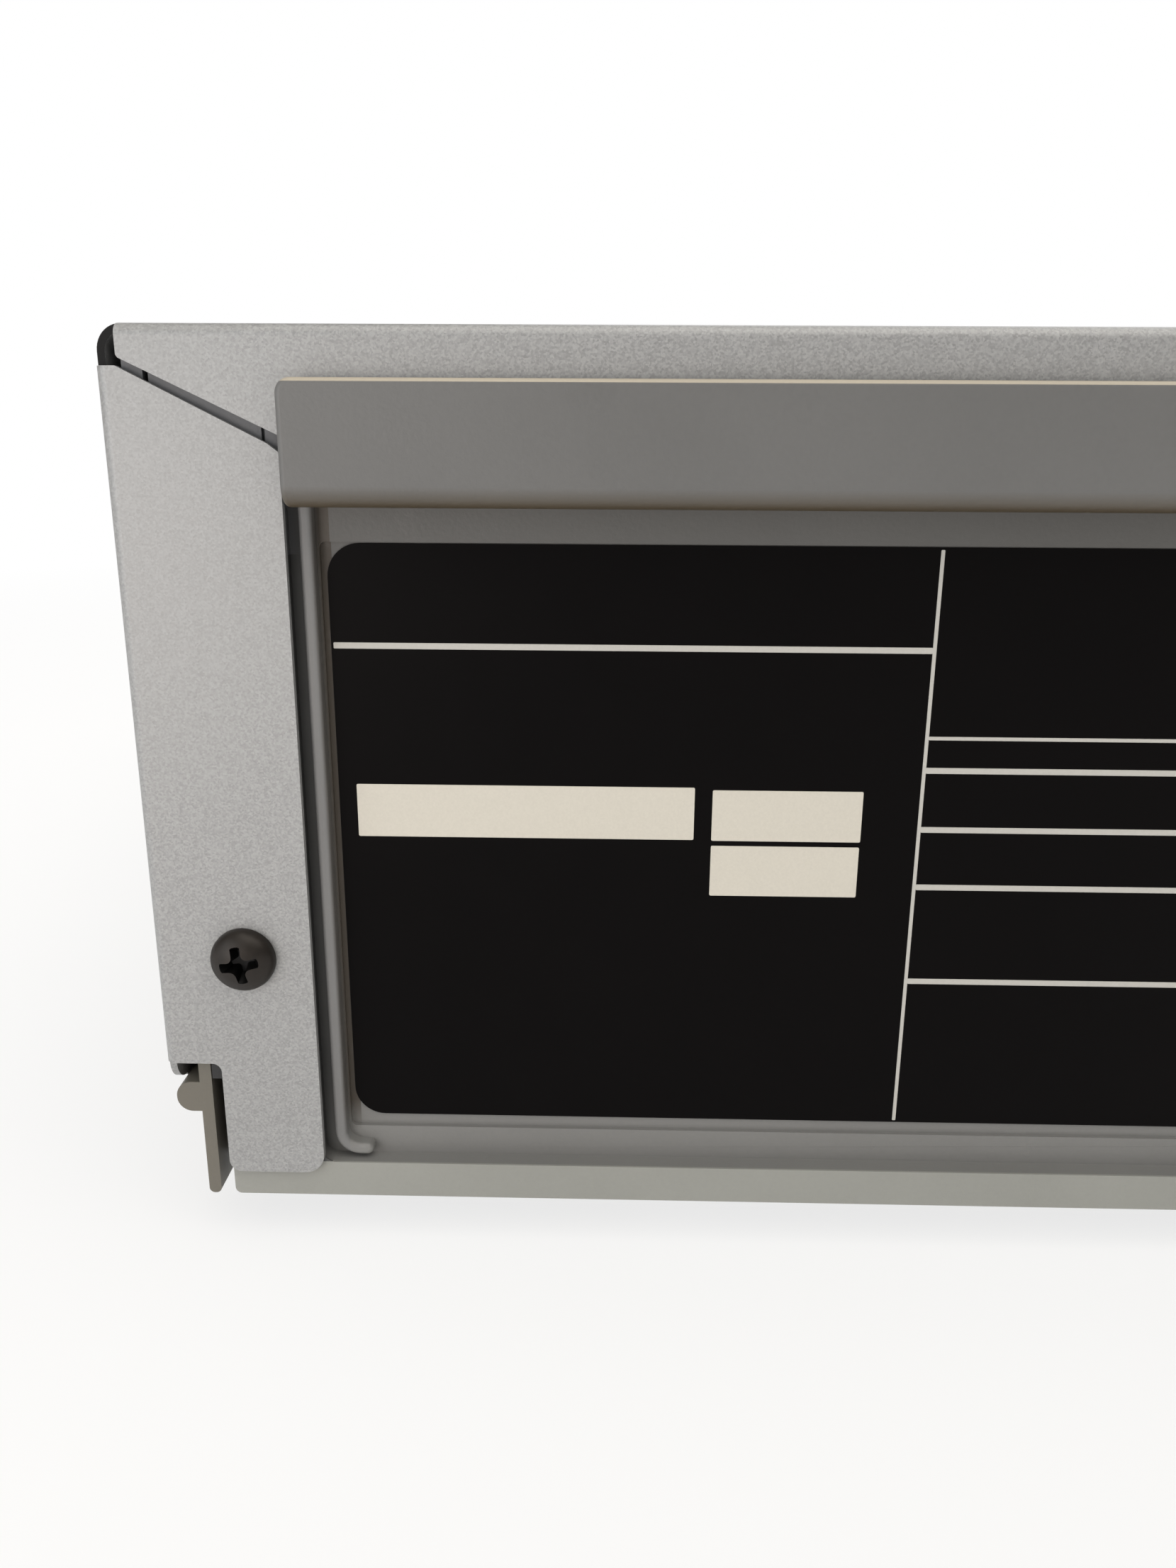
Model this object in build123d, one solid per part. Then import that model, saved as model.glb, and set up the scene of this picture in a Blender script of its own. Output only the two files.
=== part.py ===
"""A slim video cassette and disc player, built as it comes apart on a bench.

Millimetres. X runs to the player's right as seen from its front, Y to its rear, Z up from the table.
On the rear wall a place is given as u, across from the left edge as the rear is looked at, w, up from
the body's base edge, and t, in from the outer face of the cover's rear flanges.
"""
from build123d import *
import math
import os

# Overall size
FOOT_HEIGHT = 4.5
REAR_ROOM = 30.0     # behind the deck, for tuner, sockets and panel
BUTTON_PROUD = 1.0
JACK_REACH = 7.0

# Clearances
RUN_GAP = 0.3       # between pieces that move past each other
FIT_GAP = 0.1       # round a fixed piece let into an opening
PIN_GAP = 0.05      # radial, round pins, shafts and screws

# Top cover, folded sheet
SHEET = 0.6
TOP_BEND_R = 2.0
FLANGE_BEND_R = 0.9
SIDE_FLANGE = 13.5
TOP_FLANGE = 8.3
FLANGE_FOOT = 2.75
SIDE_FOOT = 10.8
SIDE_CORNER_R = 2.4
NOTCH_WIDTH = 4.93
NOTCH_TOP = 13.55
NOTCH_R = 0.8
FLANGE_OUTER_R = 1.1
FLANGE_INNER_R = 1.8
RELIEF_WIDTH = 1.75
RELIEF_HEIGHT = 3.05
MITRE_SLOT = 0.62
SIDE_MITRE_FALL = 0.5
TOP_MITRE_FALL = 0.471
MITRE_TIP = 0.9

# Screws
SCREW_HEAD_R = 2.75
SCREW_HEAD_H = 1.9
SCREW_SHANK_R = 1.45
SCREW_LENGTH = 6.5
SCREW_HOLE_R = 1.7
REAR_SCREW_U = 7.75
REAR_SCREW_W = 23.7
SIDE_SCREW_W = 15.6
SIDE_SCREW_FROM_FRONT = 120.0

# Rear panel
WALL = 2.0
PANEL_SET_BACK = 0.7
RECESS_DEPTH = 1.8
POCKET_DEPTH = 0.4
LIP_END = 5.0
LIP_STEP = 11.7
LIP_TOP = 3.4
LIP_CORNER_R = 0.6
RECESS_SIDE = 13.2
RECESS_R = 1.2
HOOD_SIDE = 14.0
HOOD_FROM_TOP = 3.9
HOOD_HEIGHT = 9.3
HOOD_PROUD = 2.4
HOOD_WALL = 1.8
HOOD_CORNER_R = 1.15
HOOD_SOFT_R = 1.6
HOOD_EDGE_R = 0.45
RIB_U = 14.8
RIB_WIDTH = 1.1
RIB_PROUD = 1.25
RIB_TURN_R = 1.75
RIB_FOOT = 4.35
RIB_END_U = 17.15
RIB_CREST_R = 0.4
SEAM_GROOVE_U = 12.07
SEAM_GROOVE = 0.25
BOSS_R = 2.35
BOSS_DEPTH = 9.0

# Rating plate, let into the panel's pocket
LABEL_LEFT = 16.0
LABEL_WIDTH = 112.5
LABEL_FOOT = 7.2
LABEL_UNDER_HOOD = 2.9
LABEL_CORNER_R = 2.7
LABEL_SHEET = 0.12
POCKET_LEFT = 15.55
POCKET_FOOT = 6.1

# Main frame
LEG_OUT = 2.6
LEG_THICK = 1.1
LEG_TOP = 20.0
BEAD_OUT = 0.45
BEAD_FOOT = 8.4
BEAD_TOP = 11.3
POST_OUT = 1.85
POST_IN = 3.4
POST_DEPTH = 5.0
PLATE_INSET = 1.1
PLATE_SHEET = 0.8
FLOOR_THICK = 2.0
STANDOFF = 3.6
BOARD_THICK = 1.6
STANDOFF_R = 3.2
DECK_POST = 15.6
DECK_SHEET = 1.2
POST_R = 4.0
POST_ROOM = 1.0
POST_INSET = 12.0
FOOT_R = 11.0
FOOT_TAPER = 1.2
FOOT_EDGE_R = 0.8
FOOT_HOLLOW = (7.0, 0.8)      # radius and depth
FOOT_SIDE = 40.0
FOOT_ENDS = (45.0, 40.0)      # from the front and from the rear
FLOOR_WINDOW = (120.0, 79.0)
FLOOR_WINDOW_BACK = 26.0
FLOOR_WINDOW_R = 6.0
FLOOR_TAB = (20.0, 6.0)
FLOOR_TABS = (-0.35, 0, 0.35)  # as parts of the width
PLATE_EDGE_R = 3.0
VENT = (3.0, 14.0)
VENT_PITCH = (14.0, 20.0)
VENT_ROWS, VENT_COLUMNS = 3, 12
VENT_AT = (30.0, 22.0)        # from the main board's corner

# Front panel and what it carries
PANEL_DEPTH = 18.0
FRONT_WALL = 2.5
RIM_WALL = 2.2
PANEL_EDGE_R = 2.0
TONGUE = 5.0
FIELD_DEPTH = 1.0
FIELD_SIDE = 9.0
FIELD_FOOT = 5.0
FIELD_HEIGHT = 30.0
FIELD_R = 4.0
SILL = 3.5           # between the control field and the door
DOOR_FROM_TOP = 6.0
DOOR_OVER = 5.0      # higher and wider than the cassette
DOOR_WIDER = 7.0
DOOR_THICK = 2.2
DOOR_PIN_R = 1.2
DOOR_PIN_DROP = 1.5
DOOR_PIN_BACK = 3.6
DOOR_PIN_LENGTH = 3.6
DOOR_LUG_R = 1.6
EAR = 3.0
WINDOW_HEIGHT = 23.0
WINDOW_ROOM = (14.0, 10.0)   # to the jack well and to the next button
BOARD_BACK = 12.0
SWITCH_HEIGHT = 4.3
SWITCH_SIDE = 6.0
PLUNGER_R = 1.6
STEM_R = 2.0
BUTTON_EDGE_R = 0.6
BUTTON_TRAVEL = 1.0
BUTTON_FLANGE = 1.2
JACK_WELL_WIDTH = 48.0
JACK_WELL_HEIGHT = 16.0
JACK_WELL_FROM_LEFT = 105.0
WELL_R = 3.0
OPENING_R = 1.0
TUBE_INSET = (16.0, 5.0)
TUBE_FRONT = 6.0
TUBE_SEAT_INSET = (22.0, 9.0)
BOARD_SIDE = (10.0, 6.0)     # between the front board and the left and right sides
SPACER_R = 2.2
SPACER_RISE = 9.0
SPACERS = (-45.0, -76.0, 152.0, 41.0)   # from the left side, below nought, or from the right
FRONT_JACK_PITCH = 15.0

# Buttons: distance from the left or right side, height over the field's middle, width, height
LEFT_BUTTONS = {
    "power_button": (28.0, 0.0, 24.0, 10.0),
    "tape_eject_button": (62.0, 0.0, 22.0, 8.0),
}
RIGHT_BUTTONS = {
    "source_button": (138.0, 6.5, 18.0, 7.0),
    "disc_open_button": (138.0, -6.5, 18.0, 7.0),
    "rewind_button": (114.0, 0.0, 14.0, 9.0),
    "play_button": (92.0, 0.0, 18.0, 18.0),
    "forward_button": (70.0, 0.0, 14.0, 9.0),
    "stop_button": (50.0, 0.0, 12.0, 9.0),
    "record_button": (32.0, 0.0, 9.0, 9.0),
    "channel_up_button": (16.0, 6.5, 10.0, 7.0),
    "channel_down_button": (16.0, -6.5, 10.0, 7.0),
}

# Disc drive
DRIVE_SIDE = 25.3    # between the loader's lugs and the right side
DECK_TO_DRIVE = 33.3
TRAY_FROM_TOP = 26.0
TRAY_BORDER = 12.0
TRAY_TAIL = 35.0     # behind the pickup's slot
TRAY_HEIGHT = 7.0
DISC_CLEAR = 1.0     # between the front and a disc when the tray is out
TRAY_FRONT_OVER = 3.0
TRAY_FRONT_HEIGHT = 22.0
TRAY_FRONT_THICK = 3.0
TRAY_FRONT_DROP = 7.0
DISC_R = 60.0
SMALL_DISC_R = 40.0
DISC_ROOM = 1.0
DISC_SEAT = 4.0
SMALL_DISC_STEP = 1.0
DISC_FROM_FRONT = 19.0
TRAY_HOLE_R = 20.0
TRAY_SLOT = 46.0
TRAY_FLOOR = 1.4
TRAY_RIM = 3.0
TRAY_INNER_R = 3.0
TAIL_WINDOW = (50.0, 5.0, 6.0)   # half width, then its distance from the slot and from the rear
NOTCH_PLACE = (0.9, 0.75)        # shares of the disc's radius, aside and ahead
FINGER_R = 10.0
TRAY_FRONT_R = 1.0
TRAY_FRONT_EDGE_R = 0.8
LOADER_FROM_FRONT = 24.0
LOADER_TAIL = 4.0
LUG_OUT = 5.0
LUG_INSET = 10.0
LOADER_DROP = 13.0
LOADER_FLOOR = 2.0
LOADER_WALL = 2.4
WALL_OVER_TRAY = 2.0
HOOK_REACH = 3.0
HOOK_LENGTH = 12.0
HOOK_PLACES = (6.0, 60.0, -30.0)   # from the loader's front, or from its rear
LEDGE = 5.8
LEDGE_THICK = 1.7
GEAR_MODULE = 1.0
PINION_TEETH = 16
PRESSURE_ANGLE = 20.0
DEDENDUM = 1.25      # in modules
PINION_FROM_FRONT = 36.0
PINION_PIN_R = 2.0
PINION_PIN_SHORT = 1.5
MOTOR_BOSS_R = 3.0
MOTOR_SHAFT_R = 1.0
MOTOR_SHAFT_IN = 8.0
RACK_INSET = 10.6
RACK_DROP = 6.0
RACK_LAND = 6.0       # solid tray over the rack
RACK_BACK = 4.6
BACKLASH = 0.15
PULLEY_R = 13.0
MOTOR_PULLEY_R = 4.5
PULLEY_HEIGHT = 2.5
PULLEY_RISE = 1.0
MOTOR_APART = 38.0
TRAY_MOTOR_R = 11.0
TRAY_MOTOR_LENGTH = 18.0
TRAY_MOTOR_EDGE_R = 1.5
BELT = 1.6
BELT_RISE = 0.4
HINGE_BEHIND_SPINDLE = 99.0
TRAVERSE_LIFT = 8.8
TRAVERSE_DROP = 12.3
TRAVERSE_SHEET = 2.0
TRAVERSE_LEFT = 38.0
TRAVERSE_RIGHT = 46.0
TRAVERSE_AHEAD = 20.0
TRAVERSE_BEHIND = 4.0
TRAVERSE_CORNER_R = 4.0
SWING_ROOM = (4.0, 3.0)      # round the traverse, ahead and behind
EAR_THICK = 3.4
EAR_HALF = 4.0
EAR_TOP = 3.5
HINGE_PIN = 4.5
HINGE_PIN_OUT = 3.5
SUPPORT_OVER_TRAY = 5.3
TURNTABLE_R = 15.0
TURNTABLE_THICK = 2.5
TABLE_SLEEVE_R = 4.0
SHAFT_BELOW_DISC = 3.0
HUB_R = 7.3
HUB_RISE = 2.0
HUB_CHAMFER = 1.2
PICKUP_TRAVEL = 34.0
PICKUP_START = 26.0
PICKUP_LENGTH = 20.0
PICKUP_ROOM = 4.0
SLED_RISE = 0.8
SLED_OVER_ROD = 2.2
LENS_R = 3.0
LENS_BELOW_DISC = 2.2
LENS_BLOCK = (14.0, 3.0, 4.0)   # half width, distance below the disc, corner radius
NUT_HALF = 3.0
NUT_OVER = 2.5
ROD_R = 1.5
ROD_APART = 60.0
ROD_RISE = 3.0
ROD_ENDS = (6.0, 84.0)       # behind the spindle
ROD_BLOCK = (6.0, 4.0, 2.5)  # width, length, height over the rod
LEAD_RISE = 2.0
LEAD_ENDS = (9.3, 79.4)
LEAD_TAIL_R = 1.0
LEAD_TAIL = 7.6
LEAD_END_ROOM = 0.4
LEAD_BLOCK_START = 8.0
SLED_MOTOR_BACK = 79.7
SLED_MOTOR_R = 4.0
SLED_MOTOR_LENGTH = 12.0
SPINDLE_MOTOR_R = 12.0
SPINDLE_MOTOR_H = 8.0
SPINDLE_BOSS_R = 5.0
SPINDLE_SHAFT_R = 1.2
PICKUP_WINDOW = (40.0, 18.0, 76.0)   # width, then its ends behind the spindle
LEAD_OFFSET = 40.0
CLAMP_OVER_TRAY = 1.3
CLAMP_R = 15.0
CLAMP_NECK_R = 9.0
CLAMP_RING = 2.2     # the pressure ring, up to the bridge
CLAMP_CAP = 2.0
CLAMP_CAP_INSET = 2.0
CLAMP_BORE = 3.5
BRIDGE_SHEET = 2.0
BRIDGE_HALF = 22.0
BRIDGE_LEG_HALF = 19.0
BRIDGE_R = 3.0

# Cassette deck
DECK_SIDE = 12.0
DECK_R = 4.0
DECK_EDGE = 1.5
DECK_FROM_FRONT = 42.0
DECK_BEHIND_DRUM = 5.0
CASSETTE_WIDTH = 187.0
CASSETTE_HEIGHT = 25.0
CASSETTE_ROOM = 1.1
CASSETTE_OVER_SILL = 1.4
HOLDER_SHEET = 0.8
HOLDER_LIP = 15.0
HOLDER_R = 1.2
HOLDER_WINDOW = (110.0, 12.0, 10.0)   # width, then its distance from the front and rear edges
STOP_INSET = 1.0
STOP_HEIGHT = 5.0
HOLDER_FROM_FRONT = 38.0
HOLDER_LENGTH = 50.0
HOLDER_IN = 50.0
HOLDER_DOWN = 14.0
GUIDE_SHEET = 1.2
GUIDE_APART = 1.9
GUIDE_FOOT = 6.0
GUIDE_FOOT_ENDS = (20.0, 10.0)
PATH_PIN_R = 1.2
PATH_PIN_RISE = 4.0
PATH_PIN_PROUD = 0.5
PATH_PIN_BACK = (10.0, 34.0)
PATH_PIN_STEP = 5.0
REEL_APART = 92.0
REEL_BEHIND_HOLDER = 6.0
REEL_R = 16.0
REEL_HUB_R = 8.5
REEL_FLANGE = 3.0
REEL_HUB = 11.0
SPLINE = (2.0, 1.6)           # how far it stands out, and its width
SPINDLE_PIN_R = 1.5
DRUM_OFFSET = 4.0
DRUM_GAP = 15.0
DRUM_R = 31.0
DRUM_SHAFT_R = 3.0
LOWER_DRUM_H = 16.0
UPPER_DRUM_H = 15.0
LEDGE_OUT = 1.0
LEDGE_HEIGHT = (4.0, 6.0)     # at the middle, and at its highest
LEDGE_TILT = 4.0
DRUM_CAP = 3.0
DRUM_HUB_R = 10.0
DRUM_RIM = 6.0
DRUM_RING_DEPTH = 5.0
HEAD_WINDOW = (6.0, 2.0, 3.0)
TAPE_GUIDE_R = 40.0
TAPE_GUIDE_START = 60.0
TAPE_GUIDE_TURN = 80.0
TAPE_GUIDE_PIN_R = 2.0
TAPE_GUIDE_FOOT = (4.5, 3.0)  # radius and height
TAPE_GUIDE_HEAD = (3.2, 2.0)
TAPE_GUIDE_HEIGHT = 24.0
TAPE_GUIDE_BELOW = 1.5
CAPSTAN_OFFSET = 62.0
CAPSTAN_AHEAD = 36.0
CAPSTAN_R = 1.5
ROTOR_R = 22.0
ROTOR_H = 5.0
STATOR = 2.2
STATOR_INSET = 2.0
CAPSTAN_RISE = 28.0
SLEEVE_R = 4.2
SLEEVE_RISE = 2.0
PINCH_R = 6.0
PINCH_TURN = 15.0
PINCH_PIVOT = (12.0, 26.0)
PINCH_LENGTH = 18.0
PINCH_PIN_R = 1.2
PINCH_PIN_OVER = 1.5
ARM_THICK = 2.5
ARM_ENDS = (4.0, 3.0)         # radius at the pivot and at the roller
ARM_TUBE = 20.0
PIVOT_PIN = 22.0
REEL_PIN = 12.0
CORNER_CUT = (-1.0, 4.0)   # beyond the power board, across and to the front

# Boards and rear sockets
MAIN_BOARD_DEPTH = 95.0
MAIN_SIDE = 15.0
BOARDS_APART = 17.0
MAIN_SCREW_INSET = (6.0, 24.0)
POWER_BOARD = (55.0, 82.0)
POWER_INSET = (8.0, 10.0)
POWER_SCREW_INSET = 5.0
TRANSFORMER = (28.0, 28.0, 26.0)      # width, depth and height; places are from the board's corner
TRANSFORMER_AT = (28.0, 42.0)
TRANSFORMER_R = 3.0
COOLING_PLATE = (24.0, 3.0, 30.0)
COOLING_AT = (28.0, 61.5)
RESERVOIR = (10.0, 28.0)              # radius and height
RESERVOIR_AT = (28.0, 15.0)
CAPACITOR = (4.0, 16.0)
CAPACITORS_AT = ((7.0, 34.0), (7.0, 46.0))
SCREENED_BLOCK = (28.0, 28.0, 2.0)
SCREENED_LEFT = 46.0                  # left of the drive's middle
CHIP = (22.0, 18.0, 2.2)
CHIP_AT = (106.0, 26.5)               # from the main board's corner
MAIN_CAPACITOR = (5.0, 12.0)
MAIN_CAPACITOR_PITCH = 16.0
RCA_R = 4.15
RCA_BORE_R = 1.6
RCA_RING_R = 5.2
RCA_REACH = 6.0
JACKS_FROM_LABEL = 22.0
JACK_GROUPS = (26.0, 90.0)
JACK_PITCH = 16.0
LOWER_JACKS = 20.0
UPPER_JACKS = 40.0
JACK_BLOCK_DEPTH = 13.0
JACK_CROWN = 8.0
JACK_RING_PROUD = 0.3
COLLAR_WALL = 0.7
CORE_SHORT = 0.8
PAIR_PROUD = 0.8
PAIR_RIM = 0.9
SQUARE_RIM = 2.0
SQUARE_R = 1.0
ANTENNA_R = 4.7
ANTENNA_COLLAR = 1.0
ANTENNA_COLLAR_PROUD = 0.8
ANTENNA_APART = 33.5
TUNER = (40.0, 44.0, 22.0)
GLAND_INSET = 28.0
GLAND_W = 18.0
GLAND_WIDTH = 13.0
GLAND_HEIGHT = 10.0
GLAND_R = 2.5
GLAND_RIM = 1.5
GLAND_PROUD = 2.0
GLAND_BORE_R = 3.3

# Sizes and places that follow from those above: first the decks, then the case that holds them
SLOT_END = PICKUP_START + PICKUP_TRAVEL + PICKUP_LENGTH / 2 + PICKUP_ROOM
SPINDLE_FROM_FRONT = DISC_R + DISC_FROM_FRONT
TRAY_WIDTH = 2 * (DISC_R + TRAY_BORDER)
TRAY_LENGTH = SPINDLE_FROM_FRONT + SLOT_END + TRAY_TAIL - TRAY_FRONT_THICK
TRAY_TRAVEL = SPINDLE_FROM_FRONT + DISC_R + DISC_CLEAR
TRAY_FRONT_WIDTH = TRAY_WIDTH + 2 * TRAY_FRONT_OVER
LOADER_LENGTH = TRAY_FRONT_THICK + TRAY_LENGTH + LOADER_TAIL - LOADER_FROM_FRONT
RAIL_X = TRAY_WIDTH / 2 + RUN_GAP
LUG_X = RAIL_X + LOADER_WALL + LUG_OUT
HOLDER_HALF = CASSETTE_WIDTH / 2 + CASSETTE_ROOM
GUIDE_FACE = HOLDER_HALF + HOLDER_SHEET + GUIDE_APART
DECK_WIDTH = 2 * (GUIDE_FACE + GUIDE_SHEET + DECK_EDGE)
DRUM_FROM_FRONT = HOLDER_FROM_FRONT + HOLDER_LENGTH + HOLDER_IN + DRUM_GAP + DRUM_R
DECK_LENGTH = DRUM_FROM_FRONT + DRUM_R + DECK_BEHIND_DRUM - DECK_FROM_FRONT
DOOR_WIDTH = CASSETTE_WIDTH + DOOR_WIDER
DOOR_HEIGHT = CASSETTE_HEIGHT + DOOR_OVER
WIDTH = DECK_SIDE + DECK_WIDTH + DECK_TO_DRIVE + 2 * LUG_X + DRIVE_SIDE
BODY_HEIGHT = FIELD_FOOT + FIELD_HEIGHT + SILL + DOOR_HEIGHT + DOOR_FROM_TOP
BODY_DEPTH = DECK_FROM_FRONT + DECK_LENGTH + REAR_ROOM
HALF = WIDTH / 2
BASE = FOOT_HEIGHT
TOP = BASE + BODY_HEIGHT
REAR = (BODY_DEPTH + BUTTON_PROUD - JACK_REACH) / 2
FRONT = REAR - BODY_DEPTH
PANEL_BACK = FRONT + PANEL_DEPTH
COVER_FRONT = PANEL_BACK + FIT_GAP
RECESS_T = PANEL_SET_BACK + RECESS_DEPTH
PANEL_IN = RECESS_T + WALL
PANEL_TOP = BODY_HEIGHT - 2 * SHEET
PANEL_SEAM = LEG_OUT + LEG_THICK + FIT_GAP
HOOD_TOP = BODY_HEIGHT - HOOD_FROM_TOP
HOOD_BOTTOM = HOOD_TOP - HOOD_HEIGHT
LABEL_TOP = HOOD_BOTTOM - LABEL_UNDER_HOOD
PLATE_Z = BASE + PLATE_INSET
FLOOR_Z = PLATE_Z + PLATE_SHEET
FLOOR_TOP = FLOOR_Z + FLOOR_THICK
BOARD_Z = FLOOR_TOP + STANDOFF
BOARD_TOP = BOARD_Z + BOARD_THICK
DECK_Z = FLOOR_TOP + DECK_POST
DECK_TOP = DECK_Z + DECK_SHEET
FIELD_MIDDLE = BASE + FIELD_FOOT + FIELD_HEIGHT / 2
DOOR_TOP = TOP - DOOR_FROM_TOP
DOOR_FOOT = DOOR_TOP - DOOR_HEIGHT
NEXT_BUTTON = RIGHT_BUTTONS["source_button"]
WINDOW_FROM_LEFT = JACK_WELL_FROM_LEFT + JACK_WELL_WIDTH / 2 + WINDOW_ROOM[0]
WINDOW_FROM_RIGHT = NEXT_BUTTON[0] + NEXT_BUTTON[2] / 2 + WINDOW_ROOM[1]
WINDOW_WIDTH = WIDTH - WINDOW_FROM_LEFT - WINDOW_FROM_RIGHT
WINDOW_X = (WINDOW_FROM_LEFT - WINDOW_FROM_RIGHT) / 2
DECK_X = DECK_SIDE + DECK_WIDTH / 2 - HALF
DRIVE_X = HALF - DRIVE_SIDE - LUG_X
TRAY_Z = TOP - TRAY_FROM_TOP
TRAY_TOP = TRAY_Z + TRAY_HEIGHT
LOADER_Z = TRAY_Z - LOADER_DROP
LOADER_TOP = LOADER_Z + LOADER_FLOOR
SPINDLE_Y = FRONT + SPINDLE_FROM_FRONT
HINGE_Y = SPINDLE_Y + HINGE_BEHIND_SPINDLE
SUPPORT_Z = TRAY_Z + SUPPORT_OVER_TRAY
TRAVERSE_TOP = SUPPORT_Z - TRAVERSE_DROP
HINGE_Z = TRAVERSE_TOP - TRAVERSE_SHEET / 2
ROD_Z = TRAVERSE_TOP + ROD_RISE
LEAD_X = DRIVE_X + LEAD_OFFSET
LEAD_Z = TRAVERSE_TOP + LEAD_RISE
SLED_MOTOR_Y = SPINDLE_Y + SLED_MOTOR_BACK
LOWERED = math.degrees(math.asin(TRAVERSE_LIFT / HINGE_BEHIND_SPINDLE))
PITCH_R = GEAR_MODULE * PINION_TEETH / 2
RACK_X = DRIVE_X - TRAY_WIDTH / 2 + RACK_INSET
PINION_X = RACK_X + PITCH_R + BACKLASH
PINION_Y = FRONT + PINION_FROM_FRONT
MOTOR_X = PINION_X + MOTOR_APART
PULLEY_Z = LOADER_TOP + PULLEY_RISE
CASSETTE_Z = DOOR_FOOT + CASSETTE_OVER_SILL + HOLDER_SHEET
HOLDER_Z = CASSETTE_Z - HOLDER_SHEET
HOLDER_TOP = CASSETTE_Z + CASSETTE_HEIGHT + CASSETTE_ROOM
HOLDER_Y = FRONT + HOLDER_FROM_FRONT
REEL_Y = HOLDER_Y + HOLDER_IN + REEL_BEHIND_HOLDER
DRUM_X = DECK_X + DRUM_OFFSET
DRUM_Y = FRONT + DRUM_FROM_FRONT
CAPSTAN_X = DECK_X + CAPSTAN_OFFSET
CAPSTAN_Y = DRUM_Y - CAPSTAN_AHEAD
PIVOT_X = CAPSTAN_X + PINCH_PIVOT[0]
PIVOT_Y = CAPSTAN_Y + PINCH_PIVOT[1]
DECK_Y = FRONT + DECK_FROM_FRONT
DECK_REAR = DECK_Y + DECK_LENGTH
DECK_LEFT, DECK_RIGHT = DECK_X - DECK_WIDTH / 2, DECK_X + DECK_WIDTH / 2
POWER_X = (POWER_INSET[0] - HALF, POWER_INSET[0] + POWER_BOARD[0] - HALF)
POWER_Y = (REAR - POWER_INSET[1] - POWER_BOARD[1], REAR - POWER_INSET[1])
CUT_X, CUT_Y = POWER_X[1] + CORNER_CUT[0], POWER_Y[0] - CORNER_CUT[1]
BOARD_REAR = REAR - PANEL_IN - FIT_GAP
MAIN_X = (POWER_X[1] + BOARDS_APART, HALF - MAIN_SIDE)
MAIN_Y = (BOARD_REAR - MAIN_BOARD_DEPTH, BOARD_REAR)
DECK_POSTS = [
    (DECK_LEFT + POST_INSET, DECK_Y + POST_INSET / 2),
    (DECK_RIGHT - POST_INSET, DECK_Y + POST_INSET / 2),
    (DECK_RIGHT - POST_INSET, DECK_REAR - POST_INSET / 2),
    (CUT_X + POST_INSET, DECK_REAR - POST_INSET / 2),
]
LOADER_Y = (FRONT + LOADER_FROM_FRONT, FRONT + LOADER_FROM_FRONT + LOADER_LENGTH)
LOADER_POSTS = [(DRIVE_X + side * LUG_X, y) for side in (-1, 1)
                for y in (LOADER_Y[0] + LUG_INSET, LOADER_Y[1] - LUG_INSET)]
MAIN_SCREW_X = (MAIN_X[0] + MAIN_SCREW_INSET[0], MAIN_X[1] - MAIN_SCREW_INSET[0])
MAIN_SCREW_Y = (MAIN_Y[0] + MAIN_SCREW_INSET[0], MAIN_Y[1] - MAIN_SCREW_INSET[1])
MAIN_SCREWS = [(x, y) for y in MAIN_SCREW_Y for x in MAIN_SCREW_X]
MAIN_SCREWS += [(sum(MAIN_X) / 2, MAIN_SCREW_Y[0])]
POWER_SCREWS = [(x, y) for x in (POWER_X[0] + POWER_SCREW_INSET, POWER_X[1] - POWER_SCREW_INSET)
                for y in (POWER_Y[0] + POWER_SCREW_INSET, POWER_Y[1] - POWER_SCREW_INSET)]
JACKS_LEFT = LABEL_LEFT + LABEL_WIDTH + JACKS_FROM_LABEL
RCA_JACKS = [(JACKS_LEFT + group + column * JACK_PITCH, row) for group in JACK_GROUPS
             for column in range(3) for row in (LOWER_JACKS, UPPER_JACKS)]
ANTENNA_U = RCA_JACKS[-1][0] + ANTENNA_APART
GLAND_U = WIDTH - GLAND_INSET

REAR_PLANE = Plane(origin=(HALF, REAR, BASE), x_dir=(-1, 0, 0), z_dir=(0, 1, 0))
FRONT_PLANE = Plane(origin=(0, FRONT, 0), x_dir=(1, 0, 0), z_dir=(0, -1, 0))


# Shapes used throughout

def block(x, y, z):
    """A block between two values on each axis."""
    return Pos(sum(x) / 2, sum(y) / 2, sum(z) / 2) * Box(x[1] - x[0], y[1] - y[0], z[1] - z[0])


def upright(x, y, z, radius):
    """A cylinder standing between two heights."""
    return Pos(x, y, sum(z) / 2) * Cylinder(radius, z[1] - z[0])


def along_y(x, y, z, radius):
    """A cylinder lying between two depths."""
    return Pos(x, sum(y) / 2, z) * Rot(90, 0, 0) * Cylinder(radius, y[1] - y[0])


def along_x(x, y, z, radius):
    """A cylinder lying across, between two X values."""
    return Pos(sum(x) / 2, y, z) * Rot(0, 90, 0) * Cylinder(radius, x[1] - x[0])


def rect(x, y, radius=0.0):
    """A rectangle between two values on each axis of its plane, with rounded corners."""
    width, height = x[1] - x[0], y[1] - y[0]
    outline = RectangleRounded(width, height, radius) if radius else Rectangle(width, height)
    return Pos(sum(x) / 2, sum(y) / 2) * outline


def rear_form(outline, deep, shallow):
    """An outline in u and w, as a solid between two values of t."""
    return extrude(REAR_PLANE.offset(-deep) * outline, deep - shallow)


def front_form(outline, shallow, deep):
    """An outline in X and Z, as a solid between two depths behind the front face."""
    return extrude(FRONT_PLANE.offset(-deep) * outline, deep - shallow)


def level_form(outline, z):
    """An outline in X and Y, as a solid between two heights."""
    return extrude(Pos(0, 0, z[0]) * outline, z[1] - z[0])


def both_sides(solid):
    """A solid and its mirror image on the other side of the player."""
    return solid + mirror(solid, about=Plane.YZ)


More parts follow.
